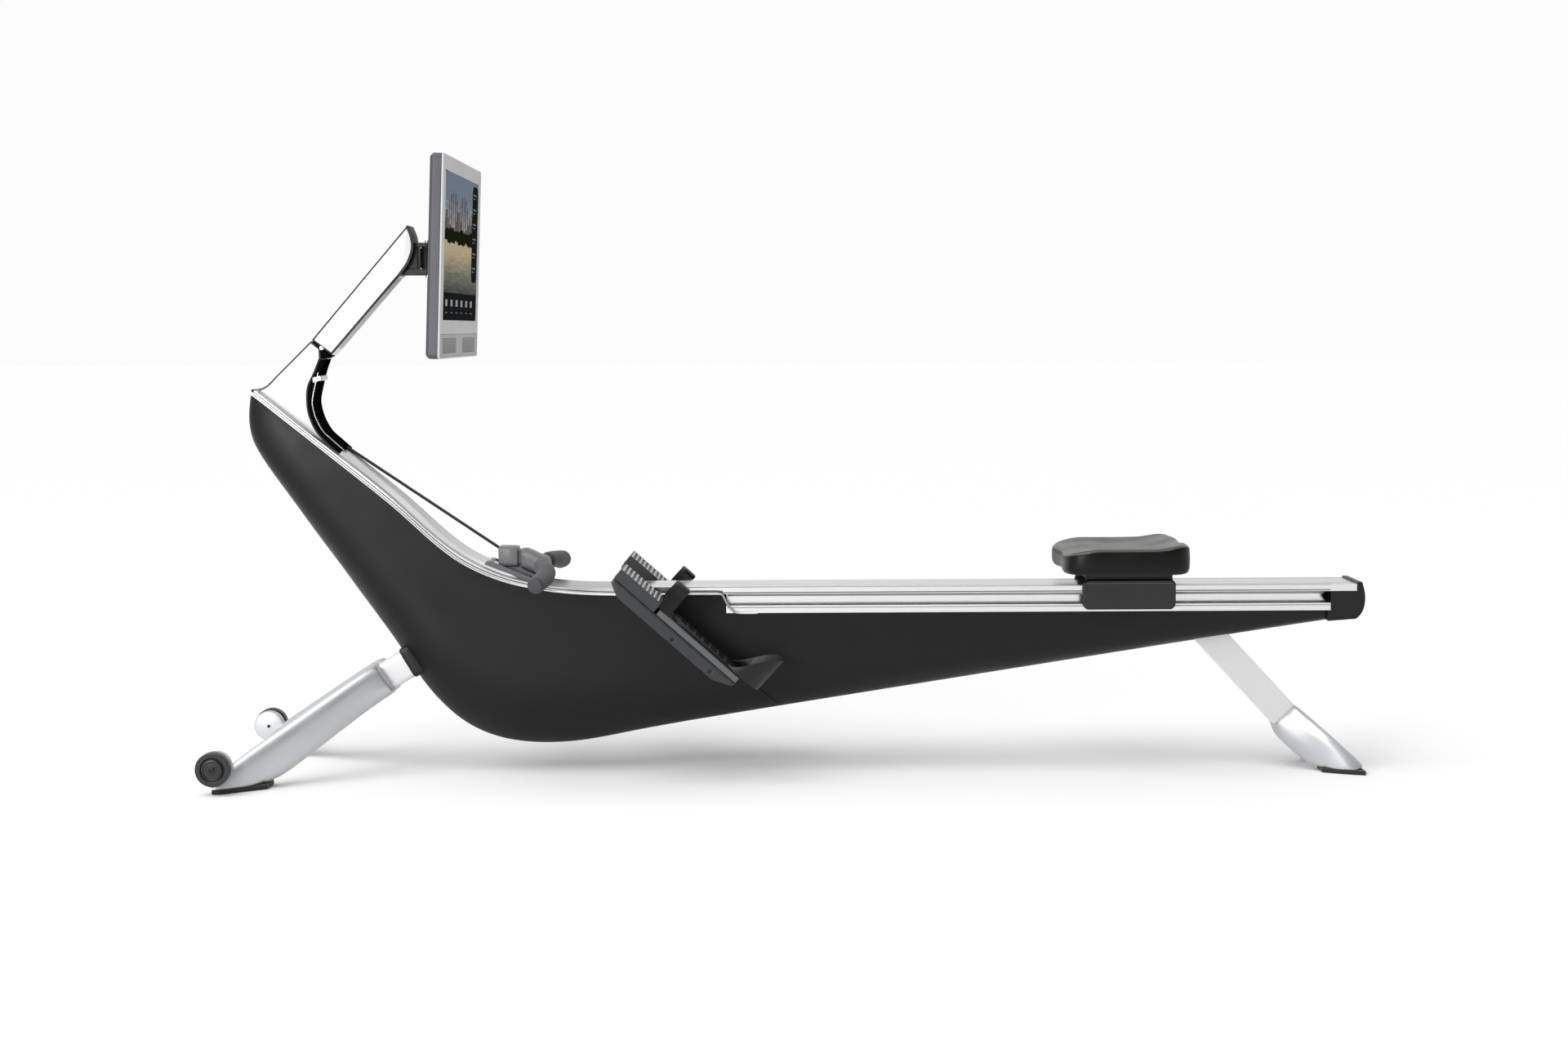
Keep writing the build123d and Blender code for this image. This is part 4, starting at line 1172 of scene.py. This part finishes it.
def make_heel_cups():
    """The sliding heel rests: a ridged plate and a flared cup with a rolled rim."""
    for side, name in left_then_right:
        body = "heel_" + name
        centre_s, inner, outer = 0.294, 0.0465, 0.0515
        sweep, rings = 122, []
        for k in range(61):
            angle = math.radians(-sweep + 2 * sweep * k / 60)
            back = max(0.0, math.cos(angle / 1.36))
            top = 0.0185 + 0.0700 * smooth_step(0.06, 1.0, back) ** 1.1
            flare = 0.0022 * smooth_step(0.2, 1.0, back)
            ring = []
            for radius, h in ((inner, 0.0168), (inner, 0.0168 + (top - 0.0168) * 0.5),
                              (inner + flare * 0.7, top - 0.002),
                              (inner + flare + 0.0010, top - 0.0004), ((inner + outer) / 2 + flare, top),
                              (outer + flare - 0.0006, top - 0.0004), (outer + flare, top - 0.0022),
                              (outer - 0.0002, 0.0125 + (top - 0.0125) * 0.45), (outer - 0.0010, 0.0125)):
                ring.append(board_point(side, centre_s + radius * math.cos(angle), h, radius * math.sin(angle)))
            rings.append(ring)
        verts, faces = grid(rings)
        plate_rings = []
        for h, grow in ((0.0121, -0.001), (0.0130, 0.0), (0.0158, 0.0), (0.0168, -0.001)):
            ring = []
            for k in range(48):
                u, v = superellipse(k, 48, 5)
                s = 0.2235 + u * (0.0930 + grow)
                y = v * (0.0462 + grow)
                if s > centre_s:
                    y *= max(0.2, math.sqrt(max(0.0, 1 - ((s - centre_s) / 0.052) ** 2)))
                ring.append(board_point(side, s, h, y))
            plate_rings.append(ring)
        add_skin(verts, faces, plate_rings)
        cup = make("heel_cup_" + name, verts, faces, body, "black",
                   angle=50)
        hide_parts("heel_slider_" + name)
        ribs, faces = [], []
        for row in range(7):
            s = 0.146 + 0.019 * row
            rings = [[board_point(side, s + 0.0032 * grow * math.cos(math.radians(30 * k)),
                                  0.0168 + 0.0016 * grow * math.sin(math.radians(30 * k)), y) for k in range(12)]
                     for y, grow in ((-0.031, 0.5), (-0.030, 1.0), (0.030, 1.0), (0.031, 0.5))]
            add_skin(ribs, faces, rings)
        make("heel_ribs_" + name, ribs, faces, body, "shoe", angle=50)


def make_pull_strap():
    """The strap from the exit roller to the handle, with thicker woven edges."""
    start, end = Vector((-0.8625, 0, 0.6385)), Vector((-0.5605, 0, 0.4345))
    ahead = (end - start).normalized()
    out = Vector((0, -1, 0)).cross(ahead)
    rings = []
    for k in range(61):
        point = start.lerp(end, k / 60)
        ring = []
        for u, v in ((-1, -0.7), (-0.9, -1), (0.9, -1), (1, -0.7), (1, 0.7), (0.9, 1), (0.78, 0.7), (-0.78, 0.7),
                     (-0.9, 1), (-1, 0.7)):
            ring.append(point + Vector((0, u * 0.0129, 0)) + out * v * 0.0013)
        rings.append(ring)
    strap = make("pull_strap_webbing", *grid(rings), None, "pull_webbing", angle=75)
    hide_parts("pull_strap")
    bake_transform(strap)


def make_grips():
    """Dense foam grips with a fine row of finger ridges and a rolled end."""
    for side, name in left_then_right:
        spine_points = [(-0.4758, side * 0.060, 0.40455), (-0.4645, side * 0.100, 0.4030),
                        (-0.4565, side * 0.140, 0.4001), (-0.4550, side * 0.165, 0.3978),
                        (-0.4553, side * 0.190, 0.3951), (-0.4610, side * 0.222, 0.3906),
                        (-0.4688, side * 0.2535, 0.3855)]
        path = curve(spine_points, 22)
        length = len(path) - 1
        radii = []
        for i in range(len(path)):
            share = i / length
            round_end = min(1.0, math.sqrt(max(0.0, min(share, 1 - share) * 18)))
            ridge = 0.00035 * math.cos(share * 2 * math.pi * 26) * smooth_step(0.05, 0.12, share)
            ridge *= smooth_step(0.05, 0.12, 1 - share)
            radii.append(0.0122 + 0.0040 * round_end + ridge)
        grip = make("grip_" + name, *grid(tube(path, radii, 32)), "handle", "grip", angle=60)
        if side > 0:
            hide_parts("handle_grips")


# ---------------------------------------------------------------- build

make_camera()
make_stage()
for node, finish_name, width in refined_nodes:
    refined(node, finish_name, width)
cast("board_shells", "shoe", 0.0025, 8)
dress_kept()
make_lip_beads()
make_neck_trim()
make_neck()
make_arm()
make_rail_lines()
make_handle_rest()
make_spine()
make_castings()
make_front_post()
make_arm_edge()
make_swivel_sleeve()
make_collar()
make_wheel_hubs()
make_end_bolts()
make_screen()
make_seat()
make_carriage_trim()
make_toe_teeth()
make_heel_cups()
make_foot_straps()
make_buckles()
make_yoke()
make_pull_strap()
make_grips()
